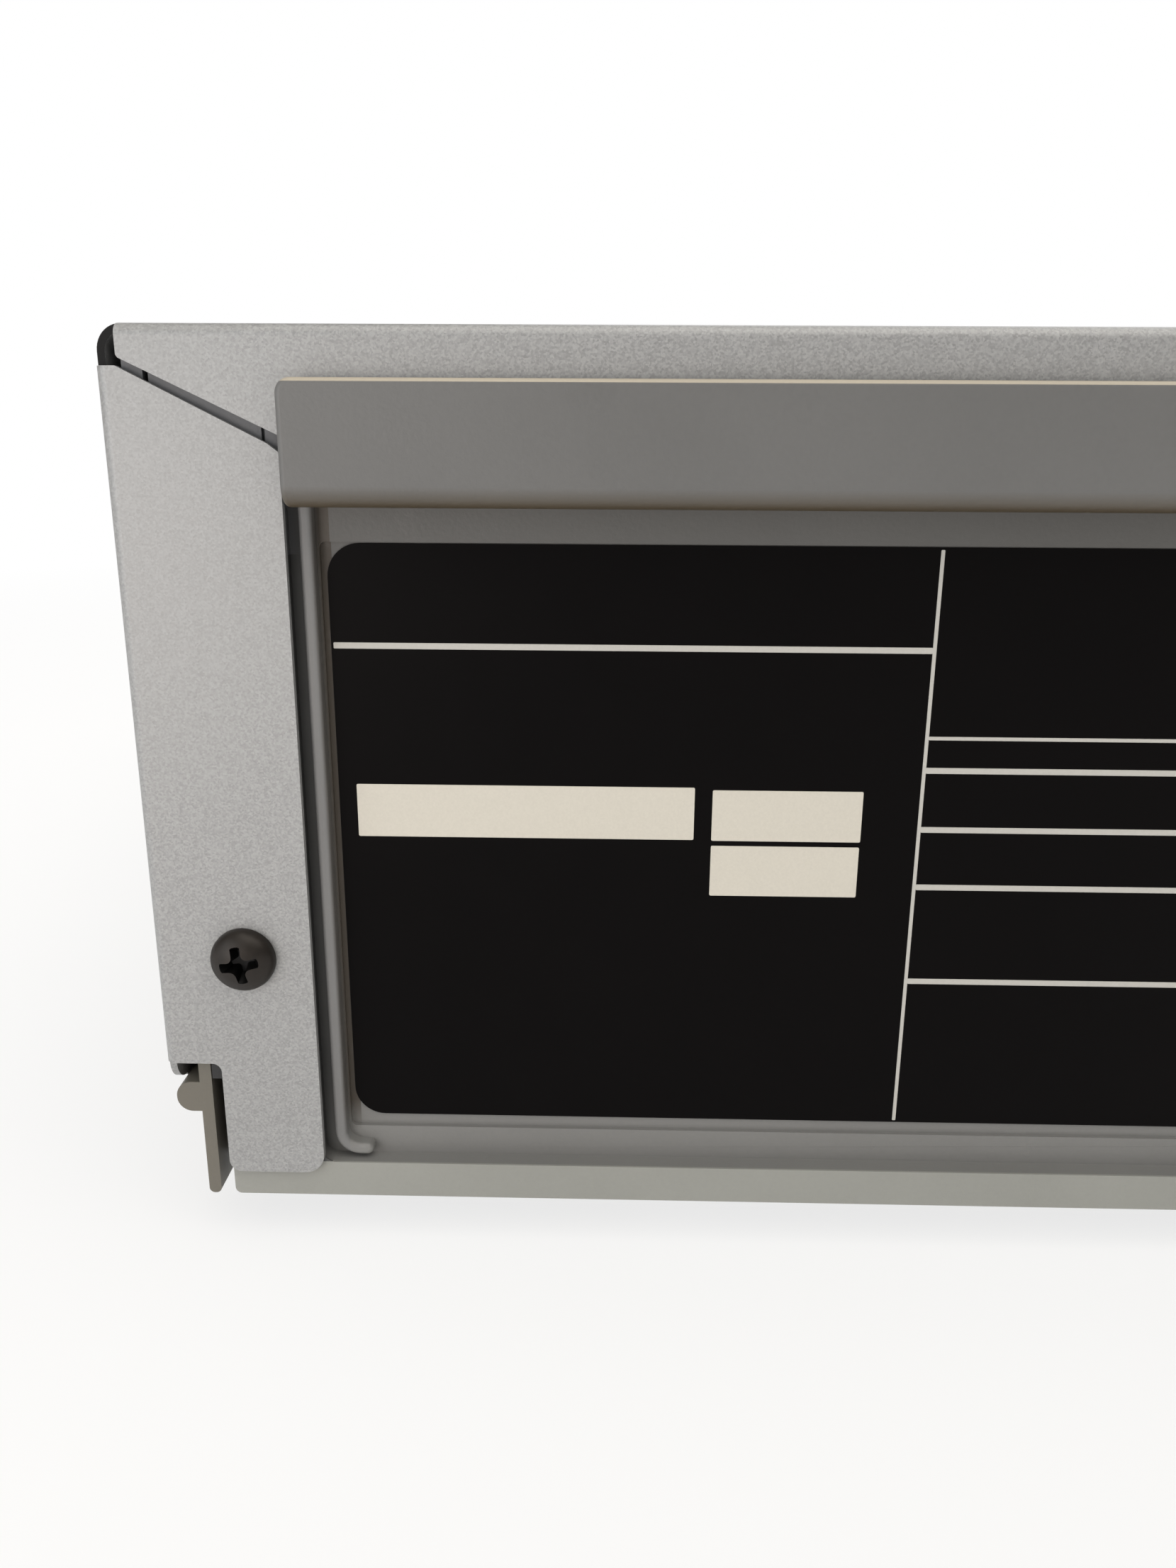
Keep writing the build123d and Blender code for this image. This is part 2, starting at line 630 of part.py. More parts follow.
def edges_at(solid, test):
    """The edges whose middle passes a test."""
    return [edge for edge in solid.edges() if test(edge.center())]


def near(a, b):
    """Whether two lengths are the same to a hundredth."""
    return abs(a - b) < 0.01


def pan_screw(length):
    """A pan-head screw with a cross recess, its head's seat at the origin and its head up."""
    head = upright(0, 0, (0, SCREW_HEAD_H), SCREW_HEAD_R)
    head = fillet(edges_at(head, lambda c: near(c.Z, SCREW_HEAD_H)), SCREW_HEAD_H * 0.6)
    arm = Box(SCREW_HEAD_R * 1.15, SCREW_HEAD_R * 0.3, SCREW_HEAD_H)
    cross = Pos(0, 0, SCREW_HEAD_H) * (arm + Rot(0, 0, 90) * arm)
    return head + upright(0, 0, (-length, 0), SCREW_SHANK_R) - cross


# Casing

def folded_box(inset, reach):
    """The cover's outer or inner skin as a solid: roof and sides bent, rear edges bent tighter."""
    foot = BASE + FLANGE_FOOT - reach
    body = block((inset - HALF, HALF - inset), (COVER_FRONT - reach, REAR - inset), (foot, TOP - inset))
    body = fillet(edges_at(body, lambda c: near(c.Z, TOP - inset) and near(abs(c.X), HALF - inset)),
                  TOP_BEND_R - inset)
    rear_edges = edges_at(body, lambda c: near(c.Y, REAR - inset) and c.Z > foot + 1)
    return fillet(rear_edges, FLANGE_BEND_R - inset)


def flange_outlines():
    """The rear flanges seen from behind: two mitred sides and the roof's own flange."""
    mitre_top = BODY_HEIGHT - RELIEF_HEIGHT
    slot_start = RELIEF_WIDTH - 0.15
    tip = SIDE_FLANGE - MITRE_TIP
    tip_w = mitre_top - SIDE_MITRE_FALL * (tip - slot_start)
    side = make_face(FilletPolyline(
        (-1, NOTCH_TOP), (NOTCH_WIDTH, NOTCH_TOP), (NOTCH_WIDTH, FLANGE_FOOT),
        (SIDE_FLANGE, FLANGE_FOOT), (SIDE_FLANGE, tip_w - MITRE_TIP * 0.75), (tip, tip_w),
        (slot_start, mitre_top), (-1, mitre_top),
        radius=[0, NOTCH_R, FLANGE_OUTER_R, FLANGE_INNER_R, 0.3, 0.3, 0.2, 0], close=True))
    roof_w = mitre_top + MITRE_SLOT
    roof_foot = BODY_HEIGHT - TOP_FLANGE
    roof_u = RELIEF_WIDTH + (roof_w - roof_foot) / TOP_MITRE_FALL
    roof = make_face(FilletPolyline(
        (RELIEF_WIDTH, BODY_HEIGHT + 1), (RELIEF_WIDTH, roof_w), (roof_u, roof_foot),
        (WIDTH - roof_u, roof_foot), (WIDTH - RELIEF_WIDTH, roof_w),
        (WIDTH - RELIEF_WIDTH, BODY_HEIGHT + 1), radius=[0, 0.4, 0.4, 0.4, 0.4, 0], close=True))
    return side + Pos(WIDTH, 0) * mirror(side, about=Plane.YZ) + roof


def top_cover():
    """Folded sheet: roof, two sides, and rear flanges with a slot at each mitre."""
    bend_zone = FLANGE_BEND_R + 0.1
    window = rect((-1, WIDTH + 1), (FLANGE_FOOT - 1, BODY_HEIGHT + 1)) - flange_outlines()
    cover = folded_box(0, 0) - folded_box(SHEET, 1) - rear_form(window, bend_zone, -1)
    cover -= block((-HALF - 1, HALF + 1), (COVER_FRONT - 1, REAR - bend_zone), (0, BASE + SIDE_FOOT))
    corners = edges_at(cover, lambda c: near(c.Y, REAR - bend_zone) and near(c.Z, BASE + SIDE_FOOT))
    cover = fillet(corners, SIDE_CORNER_R)
    holes = [(REAR_SCREW_U, REAR_SCREW_W), (WIDTH - REAR_SCREW_U, REAR_SCREW_W)]
    cover -= [rear_form(Pos(u, w) * Circle(SCREW_HOLE_R), 2, -1) for u, w in holes]
    screw_y, screw_z = FRONT + SIDE_SCREW_FROM_FRONT, BASE + SIDE_SCREW_W
    return cover - both_sides(along_x((HALF - 2, HALF + 1), screw_y, screw_z, SCREW_HOLE_R))


def cover_screws():
    """Two screws through the rear flanges and one through each side."""
    screw = pan_screw(SCREW_LENGTH)
    screws = [Pos(HALF - u, REAR, BASE + REAR_SCREW_W) * Rot(-90, 0, 0) * Rot(0, 0, 12) * screw
              for u in (REAR_SCREW_U, WIDTH - REAR_SCREW_U)]
    side_place = (FRONT + SIDE_SCREW_FROM_FRONT, BASE + SIDE_SCREW_W)
    screws += [Pos(side * HALF, *side_place) * Rot(0, side * 90, 0) * screw for side in (-1, 1)]
    return Compound(screws)


def hood():
    """The visor over the rear recess: a wall standing off the panel on a web along its foot."""
    ends = (HOOD_SIDE, WIDTH - HOOD_SIDE)
    visor = rear_form(rect(ends, (HOOD_BOTTOM, HOOD_TOP)), HOOD_WALL - HOOD_PROUD, -HOOD_PROUD)
    top_z, end_x = BASE + HOOD_TOP, HALF - HOOD_SIDE
    visor = fillet(edges_at(visor, lambda c: near(c.Z, top_z) and near(abs(c.X), end_x)), HOOD_CORNER_R)
    visor += rear_form(rect(ends, (HOOD_BOTTOM, HOOD_BOTTOM + WALL)), PANEL_IN, -HOOD_PROUD)
    face_y = REAR + HOOD_PROUD
    foot_z = BASE + HOOD_BOTTOM
    visor = fillet(edges_at(visor, lambda c: near(c.Y, face_y) and near(c.Z, foot_z)), HOOD_SOFT_R)
    soft = edges_at(visor, lambda c: near(c.Y, face_y) and c.Z > foot_z + HOOD_SOFT_R + 0.1)
    return fillet(soft, HOOD_EDGE_R)


def recess_rib():
    """The bead down the recess's end, turning in along its foot."""
    line = FilletPolyline((RIB_U, HOOD_BOTTOM + 1), (RIB_U, RIB_FOOT), (RIB_END_U, RIB_FOOT),
                          radius=RIB_TURN_R)
    outline = trace(line, RIB_WIDTH) + Pos(RIB_END_U, RIB_FOOT) * Circle(RIB_WIDTH / 2)
    rib = rear_form(outline, RECESS_T + 0.5, RECESS_T - RIB_PROUD)
    crest_y, end_z = REAR - RECESS_T + RIB_PROUD, BASE + HOOD_BOTTOM + 0.5
    return fillet(edges_at(rib, lambda c: near(c.Y, crest_y) and c.Z < end_z), RIB_CREST_R)


def gland_outline(grow):
    """The gland's body where it passes through the panel, grown all round."""
    return RectangleRounded(GLAND_WIDTH + 2 * grow, GLAND_HEIGHT + 2 * grow, GLAND_R + grow)


def socket_holes():
    """The outlines of the rear panel's openings for the jacks, the antenna sockets and the cord."""
    holes = Sketch()
    for u, w in RCA_JACKS:
        holes += Pos(u, w) * Circle(RCA_RING_R + FIT_GAP)
    holes += Pos(JACKS_LEFT, UPPER_JACKS) * Circle(RCA_RING_R + FIT_GAP)
    holes += Pos(JACKS_LEFT, LOWER_JACKS) * RectangleRounded(2 * RCA_RING_R, 2 * RCA_RING_R, SQUARE_R)
    for w in (LOWER_JACKS, UPPER_JACKS):
        holes += Pos(ANTENNA_U, w) * Circle(ANTENNA_R + ANTENNA_COLLAR + FIT_GAP)
    return holes + Pos(GLAND_U, GLAND_W) * gland_outline(FIT_GAP)


def rear_panel():
    """Moulded rear wall: lip, recess with its end ribs, plate pocket, hood and socket openings."""
    outline = rect((PANEL_SEAM, WIDTH - PANEL_SEAM), (LIP_STEP, PANEL_TOP))
    outline += rect((LIP_END, WIDTH - LIP_END), (0, LIP_STEP))
    outline = fillet([v for v in outline.vertices() if near(v.Y, 0)], LIP_CORNER_R)
    panel = rear_form(outline, PANEL_IN, PANEL_SET_BACK)
    recess = rect((RECESS_SIDE, WIDTH - RECESS_SIDE), (LIP_TOP, HOOD_BOTTOM + 1), RECESS_R)
    panel -= rear_form(recess, RECESS_T, -1)
    back = PANEL_SET_BACK + WALL
    panel -= rear_form(rect((0, WIDTH), (HOOD_BOTTOM + WALL, BODY_HEIGHT)), PANEL_IN + 1, back)
    for side in ((0, RECESS_SIDE - WALL), (WIDTH - RECESS_SIDE + WALL, WIDTH)):
        panel -= rear_form(rect(side, (LIP_TOP + WALL, BODY_HEIGHT)), PANEL_IN + 1, back)
    panel += hood()
    rib = recess_rib()
    panel += both_sides(rib)
    pocket = rect((POCKET_LEFT, LABEL_LEFT + LABEL_WIDTH + 0.5), (POCKET_FOOT, LABEL_TOP + FIT_GAP), 0.5)
    panel -= rear_form(pocket, RECESS_T + POCKET_DEPTH, RECESS_T)
    groove = rect((SEAM_GROOVE_U, SEAM_GROOVE_U + SEAM_GROOVE), (HOOD_BOTTOM + WALL, PANEL_TOP - 1))
    panel -= both_sides(rear_form(groove, PANEL_SET_BACK + 2 * SEAM_GROOVE, 0))
    for u in (REAR_SCREW_U, WIDTH - REAR_SCREW_U):
        place = Pos(u, REAR_SCREW_W)
        panel += rear_form(place * Circle(BOSS_R), PANEL_SET_BACK + BOSS_DEPTH, PANEL_SET_BACK)
        panel -= rear_form(place * Circle(SCREW_SHANK_R + PIN_GAP), PANEL_SET_BACK + BOSS_DEPTH, 0)
    return panel - rear_form(socket_holes(), PANEL_IN + 1, 0)


def rating_label():
    """The thin printed plate in the pocket beside the sockets."""
    outline = rect((LABEL_LEFT, LABEL_LEFT + LABEL_WIDTH), (LABEL_FOOT, LABEL_TOP), LABEL_CORNER_R)
    floor = RECESS_T + POCKET_DEPTH
    return rear_form(outline, floor, floor - LABEL_SHEET)


def cord_gland():
    """The bush that the mains lead comes out of, let into the rear panel."""
    place = Pos(GLAND_U, GLAND_W)
    bush = rear_form(place * gland_outline(GLAND_RIM), RECESS_T, RECESS_T - GLAND_PROUD)
    bush = fillet(edges_at(bush, lambda c: near(c.Y, REAR - RECESS_T + GLAND_PROUD)), GLAND_PROUD / 2)
    bush += rear_form(place * gland_outline(0), PANEL_IN + 4, RECESS_T)
    return bush - rear_form(place * Circle(GLAND_BORE_R), PANEL_IN + 5, -1)


def side_profile():
    """The frame's side wall end on: a leg with a bead that carries the cover's edge."""
    bead = rect((HALF - LEG_OUT - 0.5, HALF - BEAD_OUT), (BASE + BEAD_FOOT, BASE + BEAD_TOP))
    bead = fillet([v for v in bead.vertices() if near(v.X, HALF - BEAD_OUT)], (BEAD_TOP - BEAD_FOOT) * 0.47)
    leg = rect((HALF - LEG_OUT - LEG_THICK, HALF - LEG_OUT), (BASE, BASE + LEG_TOP))
    leg = fillet([v for v in leg.vertices() if near(v.Y, BASE)], LEG_THICK * 0.45)
    return leg + bead


def standing_posts():
    """Posts and standoffs on the frame's floor: place, radius and height of each."""
    posts = [(place, POST_R, DECK_Z) for place in DECK_POSTS]
    posts += [(place, POST_R, LOADER_Z) for place in LOADER_POSTS]
    return posts + [(place, STANDOFF_R, BOARD_Z) for place in MAIN_SCREWS + POWER_SCREWS]


def main_frame():
    """Moulded chassis: side walls with their beads, floor, posts and rear corner posts."""
    rear_end = REAR - PANEL_SET_BACK
    side = front_form(side_profile(), PANEL_DEPTH, rear_end - FRONT)
    corner = rear_form(rect((POST_OUT, POST_IN), (BEAD_TOP + 2, BODY_HEIGHT - TOP_BEND_R)),
                       PANEL_SET_BACK + POST_DEPTH, PANEL_SET_BACK)
    screw_y, screw_z = FRONT + SIDE_SCREW_FROM_FRONT, BASE + SIDE_SCREW_W
    boss = along_x((HALF - SHEET - SCREW_LENGTH - 1, HALF - SHEET), screw_y, screw_z, POST_R)
    side = side + corner + boss - along_x((0, HALF), screw_y, screw_z, SCREW_SHANK_R + PIN_GAP)
    floor_x = HALF - LEG_OUT - LEG_THICK / 2
    floor_rear = REAR - PANEL_IN - FIT_GAP
    frame = both_sides(side) + block((-floor_x, floor_x), (PANEL_BACK, floor_rear), (FLOOR_Z, FLOOR_TOP))
    for x in (DECK_X, DRIVE_X):
        start = PANEL_BACK + FLOOR_WINDOW_BACK
        window = rect((x - FLOOR_WINDOW[0] / 2, x + FLOOR_WINDOW[0] / 2), (start, start + FLOOR_WINDOW[1]),
                      FLOOR_WINDOW_R)
        frame -= level_form(window, (0, FLOOR_TOP + 1))
    width, length = FLOOR_TAB
    for x in (part * WIDTH for part in FLOOR_TABS):
        frame += block((x - width / 2, x + width / 2), (PANEL_BACK - length, PANEL_BACK),
                       (BASE + RIM_WALL, FLOOR_TOP))
    for (x, y), radius, height in standing_posts():
        frame += upright(x, y, (FLOOR_Z, height), radius)
    for (x, y), radius, height in standing_posts():
        frame -= upright(x, y, (height - SCREW_LENGTH, height), SCREW_SHANK_R + PIN_GAP)
    return frame


def bottom_plate():
    """Steel plate under the floor, with rows of cooling slots below the boards."""
    x_end = HALF - LIP_END - 1
    y_ends = (PANEL_BACK + 1, REAR - PANEL_IN - FIT_GAP)
    outline = rect((-x_end, x_end), y_ends, PLATE_EDGE_R)
    corner = (MAIN_X[0] + VENT_AT[0], MAIN_Y[0] + VENT_AT[1])
    for row in range(VENT_ROWS):
        for column in range(VENT_COLUMNS):
            place = (corner[0] + column * VENT_PITCH[0], corner[1] + row * VENT_PITCH[1])
            outline -= Pos(*place) * Rectangle(*VENT)
    return level_form(outline, (PLATE_Z, FLOOR_Z))


def feet():
    """Four moulded feet, tapered and hollowed a little underneath."""
    foot = Pos(0, 0, PLATE_Z / 2) * Cone(FOOT_R - FOOT_TAPER, FOOT_R, PLATE_Z)
    foot = fillet(edges_at(foot, lambda c: near(c.Z, 0)), FOOT_EDGE_R)
    foot -= upright(0, 0, (-1, FOOT_HOLLOW[1]), FOOT_HOLLOW[0])
    return Compound([Pos(x, y, 0) * foot for x in (FOOT_SIDE - HALF, HALF - FOOT_SIDE)
                     for y in (FRONT + FOOT_ENDS[0], REAR - FOOT_ENDS[1])])


# Front

def button_outline(width, height):
    """A button's outline: a disc if it is as high as wide, otherwise a rounded bar."""
    return Circle(width / 2) if near(width, height) else RectangleRounded(width, height, height * 0.3)


def button_places():
    """Each button's name, place on the front and size."""
    for name, (inset, rise, width, height) in LEFT_BUTTONS.items():
        yield name, (inset - HALF, FIELD_MIDDLE + rise), width, height
    for name, (inset, rise, width, height) in RIGHT_BUTTONS.items():
        yield name, (HALF - inset, FIELD_MIDDLE + rise), width, height


def button(place, width, height):
    """A push button: crowned cap, a flange that keeps it in, and a stem to its switch."""
    spot = Pos(*place)
    wall_back = FIELD_DEPTH + FRONT_WALL
    flange_front = wall_back + RUN_GAP
    flange_back = flange_front + BUTTON_FLANGE
    outline = button_outline(width - 2 * RUN_GAP, height - 2 * RUN_GAP)
    cap = front_form(spot * outline, -BUTTON_PROUD, flange_back)
    cap = fillet(edges_at(cap, lambda c: near(c.Y, FRONT - BUTTON_PROUD)), BUTTON_EDGE_R)
    cap += front_form(spot * button_outline(width + 2 * BUTTON_FLANGE, height + 2 * BUTTON_FLANGE),
                      flange_front, flange_back)
    stem_end = BOARD_BACK - SWITCH_HEIGHT - BUTTON_TRAVEL - RUN_GAP
    return cap + front_form(spot * Circle(STEM_R), flange_back, stem_end)


def front_openings():
    """The outlines cut right through the front wall."""
    cut = rect((DECK_X - DOOR_WIDTH / 2, DECK_X + DOOR_WIDTH / 2), (DOOR_FOOT, DOOR_TOP), OPENING_R)
    tray_foot = TRAY_Z - TRAY_FRONT_DROP - RUN_GAP
    reach = TRAY_FRONT_WIDTH / 2 + RUN_GAP
    cut += rect((DRIVE_X - reach, DRIVE_X + reach),
                (tray_foot, tray_foot + TRAY_FRONT_HEIGHT + 2 * RUN_GAP), OPENING_R)
    cut += Pos(WINDOW_X, FIELD_MIDDLE) * RectangleRounded(WINDOW_WIDTH, WINDOW_HEIGHT, WELL_R)
    well = RectangleRounded(JACK_WELL_WIDTH, JACK_WELL_HEIGHT, WELL_R)
    cut += Pos(JACK_WELL_FROM_LEFT - HALF, FIELD_MIDDLE) * well
    for name, place, width, height in button_places():
        cut += Pos(*place) * button_outline(width, height)
    return cut


def door_pin_place():
    """Depth and height of the cassette door's hinge line."""
    return FRONT + DOOR_PIN_BACK, DOOR_TOP - DOOR_PIN_DROP


def front_panel():
    """Moulded front: a hollow shell with a sunk control field, its openings and the door's ears."""
    outline = rect((-HALF, HALF), (BASE, TOP), PANEL_EDGE_R)
    panel = front_form(outline, 0, PANEL_DEPTH)
    panel = fillet(edges_at(panel, lambda c: near(c.Y, FRONT)), PANEL_EDGE_R * 0.9)
    inside = rect((RIM_WALL - HALF, HALF - RIM_WALL), (BASE + RIM_WALL, TOP - RIM_WALL), 1.0)
    field_top = BASE + FIELD_FOOT + FIELD_HEIGHT
    lower = rect((RIM_WALL - HALF, HALF - RIM_WALL), (BASE + RIM_WALL, field_top + 1))
    panel -= front_form(inside, FRONT_WALL, PANEL_DEPTH + 1)
    panel += front_form(lower, FRONT_WALL - 1, FIELD_DEPTH + FRONT_WALL)
    field = rect((FIELD_SIDE - HALF, HALF - FIELD_SIDE), (BASE + FIELD_FOOT, field_top), FIELD_R)
    panel -= front_form(field, -1, FIELD_DEPTH)
    panel -= front_form(front_openings(), -2, FIELD_DEPTH + FRONT_WALL + 0.5)
    tuck = SHEET + FIT_GAP
    tongue = rect((tuck - HALF, HALF - tuck), (BASE + BEAD_TOP + 2, TOP - tuck), TOP_BEND_R - SHEET)
    tongue -= rect((RIM_WALL - HALF, HALF - RIM_WALL), (0, TOP - RIM_WALL))
    panel += front_form(tongue, PANEL_DEPTH - 3, PANEL_DEPTH + TONGUE)
    pin_y, pin_z = door_pin_place()
    for side in (-1, 1):
        inner = DECK_X + side * (DOOR_WIDTH / 2 + RUN_GAP)
        ear_x = sorted((inner, inner + side * EAR))
        panel += block(ear_x, (FRONT + FRONT_WALL - 1, pin_y + 3), (pin_z - 3, pin_z + 2.5))
        panel -= along_x((ear_x[0] - 1, ear_x[1] + 1), pin_y, pin_z, DOOR_PIN_R + PIN_GAP)
    for inset in SPACERS:
        place = Pos(math.copysign(HALF, inset) - inset, FIELD_MIDDLE + SPACER_RISE)
        panel += front_form(place * Circle(SPACER_R), FIELD_DEPTH + 1, BOARD_BACK)
    return panel


def cassette_door():
    """The flap over the cassette slot, with a lug and a pin at each upper corner."""
    reach = DOOR_WIDTH / 2 - RUN_GAP
    outline = rect((DECK_X - reach, DECK_X + reach), (DOOR_FOOT + RUN_GAP, DOOR_TOP - RUN_GAP), 0.8)
    door = front_form(outline, 0, DOOR_THICK)
    door = fillet(edges_at(door, lambda c: near(c.Y, FRONT)), 0.5)
    brow = rect((DECK_X - reach + 12, DECK_X + reach - 12), (DOOR_FOOT + 5, DOOR_FOOT + 6))
    door -= front_form(brow, -1, 0.5)
    pin_y, pin_z = door_pin_place()
    for side in (-1, 1):
        end = DECK_X + side * reach
        lug_x = sorted((end, end - side * 3))
        door += block(lug_x, (FRONT + DOOR_THICK - 0.5, pin_y), (pin_z - DOOR_LUG_R, DOOR_TOP - RUN_GAP))
        door += along_x(lug_x, pin_y, pin_z, DOOR_LUG_R)
        door += along_x(sorted((end - side, end + side * DOOR_PIN_LENGTH)), pin_y, pin_z, DOOR_PIN_R)
    return door


def display_window():
    """The smoked window over the display, let into the control field."""
    outline = RectangleRounded(WINDOW_WIDTH - 2 * FIT_GAP, WINDOW_HEIGHT - 2 * FIT_GAP, WELL_R - FIT_GAP)
    return front_form(Pos(WINDOW_X, FIELD_MIDDLE) * outline, FIELD_DEPTH, FIELD_DEPTH + FRONT_WALL)


def display_tube():
    """The glass display tube on the front board."""
    place = Pos(WINDOW_X, FIELD_MIDDLE)
    glass = RectangleRounded(WINDOW_WIDTH - TUBE_INSET[0], WINDOW_HEIGHT - TUBE_INSET[1], 1)
    seat = Rectangle(WINDOW_WIDTH - TUBE_SEAT_INSET[0], WINDOW_HEIGHT - TUBE_SEAT_INSET[1])
    tube = front_form(place * glass, TUBE_FRONT, BOARD_BACK - 1)
    return tube + front_form(place * seat, BOARD_BACK - 2, BOARD_BACK)


def front_board():
    """The board behind the control field, with a push switch under every button."""
    field_z = BASE + FIELD_FOOT
    outline = rect((BOARD_SIDE[0] - HALF, HALF - BOARD_SIDE[1]), (field_z + 1, field_z + FIELD_HEIGHT - 1))
    board = front_form(outline, BOARD_BACK, BOARD_BACK + BOARD_THICK)
    for name, place, width, height in button_places():
        spot = Pos(*place)
        switch_top = BOARD_BACK - SWITCH_HEIGHT
        board += front_form(spot * Rectangle(SWITCH_SIDE, SWITCH_SIDE), switch_top + 1, BOARD_BACK)
        board += front_form(spot * Circle(PLUNGER_R), switch_top, BOARD_BACK)
    return board


def front_jacks():
    """Three sockets in a well of the control field, on one block."""
    x = JACK_WELL_FROM_LEFT - HALF
    block_face = BOARD_BACK - 3
    jacks = front_form(Pos(x, FIELD_MIDDLE) * Rectangle(JACK_WELL_WIDTH + 2, JACK_WELL_HEIGHT + 2),
                       block_face, BOARD_BACK)
    for column in (-1, 0, 1):
        spot = Pos(x + column * FRONT_JACK_PITCH, FIELD_MIDDLE)
        jacks += front_form(spot * Circle(RCA_RING_R), block_face - 2, block_face)
        jacks += front_form(spot * Circle(RCA_R), FIELD_DEPTH + 0.2, block_face)
        jacks -= front_form(spot * Circle(RCA_BORE_R), 0, block_face)
    return jacks


# Disc drive

def lowered(solid):
    """A piece of the traverse, turned down about the traverse's hinge to its resting place."""
    hinge = Pos(0, HINGE_Y, HINGE_Z)
    return hinge * Rot(LOWERED, 0, 0) * Pos(0, -HINGE_Y, -HINGE_Z) * solid


def involute_gear(teeth, module):
    """The outline of a spur gear, one tooth on the -X side, thinned by the backlash."""
    pitch_r = module * teeth / 2
    base_r = pitch_r * math.cos(math.radians(PRESSURE_ANGLE))
    root_r, tip_r = pitch_r - DEDENDUM * module, pitch_r + module
    half_tooth = math.pi / (2 * teeth) - BACKLASH / pitch_r

    def flank_angle(radius):
        """How far the flank has curled in at a radius, counted from the pitch circle."""
        def curl(r):
            pressure = math.acos(min(1, base_r / r))
            return math.tan(pressure) - pressure
        return half_tooth + curl(pitch_r) - curl(radius)

    radii = [root_r, base_r + 0.05, (base_r + tip_r) / 2 + 0.2, tip_r]
    points = []
    for tooth in range(teeth):
        middle = math.pi + 2 * math.pi * tooth / teeth
        for sign, run in ((-1, radii), (1, radii[::-1])):
            for radius in run:
                angle = middle + sign * flank_angle(max(radius, base_r))
                points.append((radius * math.cos(angle), radius * math.sin(angle)))
    return make_face(Polyline(*points, close=True))


def rack_outline():
    """The tray's rack from above, a tooth space facing the pinion at rest."""
    pitch = math.pi * GEAR_MODULE
    slope = math.tan(math.radians(PRESSURE_ANGLE))
    half = pitch / 4 - BACKLASH
    root, tip = RACK_X - DEDENDUM * GEAR_MODULE, RACK_X + GEAR_MODULE
    first = PINION_Y - 1.5 * pitch
    count = int((TRAY_TRAVEL + 3 * pitch) / pitch) + 1
    last = first + (count - 1) * pitch
    rack = rect((RACK_X - RACK_BACK, root), (first - pitch, last + pitch))
    for tooth in range(count):
        y = first + tooth * pitch
        wide, narrow = half + DEDENDUM * GEAR_MODULE * slope, half - GEAR_MODULE * slope
        rack += make_face(Polyline((root - 0.2, y - wide), (root, y - wide), (tip, y - narrow),
                                   (tip, y + narrow), (root, y + wide), (root - 0.2, y + wide), close=True))
    return rack


def disc_tray():
    """The tray: two disc seats, a window for turntable and pickup, a tail, and a rack below."""
    front, rear = FRONT + TRAY_FRONT_THICK, FRONT + TRAY_FRONT_THICK + TRAY_LENGTH
    x_ends = (DRIVE_X - TRAY_WIDTH / 2, DRIVE_X + TRAY_WIDTH / 2)
    tray = level_form(rect(x_ends, (front, rear), 2), (TRAY_Z, TRAY_TOP))
    centre = Pos(DRIVE_X, SPINDLE_Y)
    seat = TRAY_Z + DISC_SEAT
    tray -= level_form(centre * Circle(DISC_R + DISC_ROOM), (seat, TRAY_TOP + 1))
    tray -= level_form(centre * Circle(SMALL_DISC_R + DISC_ROOM), (seat - SMALL_DISC_STEP, seat + 1))
    shelf = seat - SMALL_DISC_STEP - TRAY_FLOOR
    inset = RACK_INSET + RACK_LAND
    hollow = rect((x_ends[0] + inset, x_ends[1] - inset), (front + TRAY_RIM, rear - TRAY_RIM),
                  TRAY_INNER_R)
    tray -= level_form(hollow, (TRAY_Z - 1, shelf))
    slot_rear = SPINDLE_Y + SLOT_END
    opening = centre * Circle(TRAY_HOLE_R)
    opening += rect((DRIVE_X - TRAY_SLOT / 2, DRIVE_X + TRAY_SLOT / 2), (SPINDLE_Y, slot_rear), 2)
    half, behind_slot, before_rear = TAIL_WINDOW
    opening += rect((DRIVE_X - half, DRIVE_X + half), (slot_rear + behind_slot, rear - before_rear),
                    TRAY_INNER_R)
    tray -= level_form(opening, (TRAY_Z - 1, TRAY_TOP + 1))
    for side in (-1, 1):
        place = Pos(DRIVE_X + side * DISC_R * NOTCH_PLACE[0], SPINDLE_Y - DISC_R * NOTCH_PLACE[1])
        notch = place * Circle(FINGER_R)
        tray -= level_form(notch, (seat - SMALL_DISC_STEP, TRAY_TOP + 1))
    return tray + level_form(rack_outline(), (TRAY_Z - RACK_DROP, TRAY_Z + 0.5))


def tray_front():
    """The tray's front bar, flush with the front panel when the tray is in."""
    foot = TRAY_Z - TRAY_FRONT_DROP
    outline = rect((DRIVE_X - TRAY_FRONT_WIDTH / 2, DRIVE_X + TRAY_FRONT_WIDTH / 2),
                   (foot, foot + TRAY_FRONT_HEIGHT), TRAY_FRONT_R)
    bar = front_form(outline, 0, TRAY_FRONT_THICK)
    return fillet(edges_at(bar, lambda c: near(c.Y, FRONT)), TRAY_FRONT_EDGE_R)


def traverse_opening():
    """The window in the loader's floor that the traverse swings in."""
    return rect((DRIVE_X - TRAVERSE_LEFT - RUN_GAP, DRIVE_X + TRAVERSE_RIGHT + RUN_GAP),
                (SPINDLE_Y - TRAVERSE_AHEAD - SWING_ROOM[0], HINGE_Y + TRAVERSE_BEHIND + SWING_ROOM[1]))


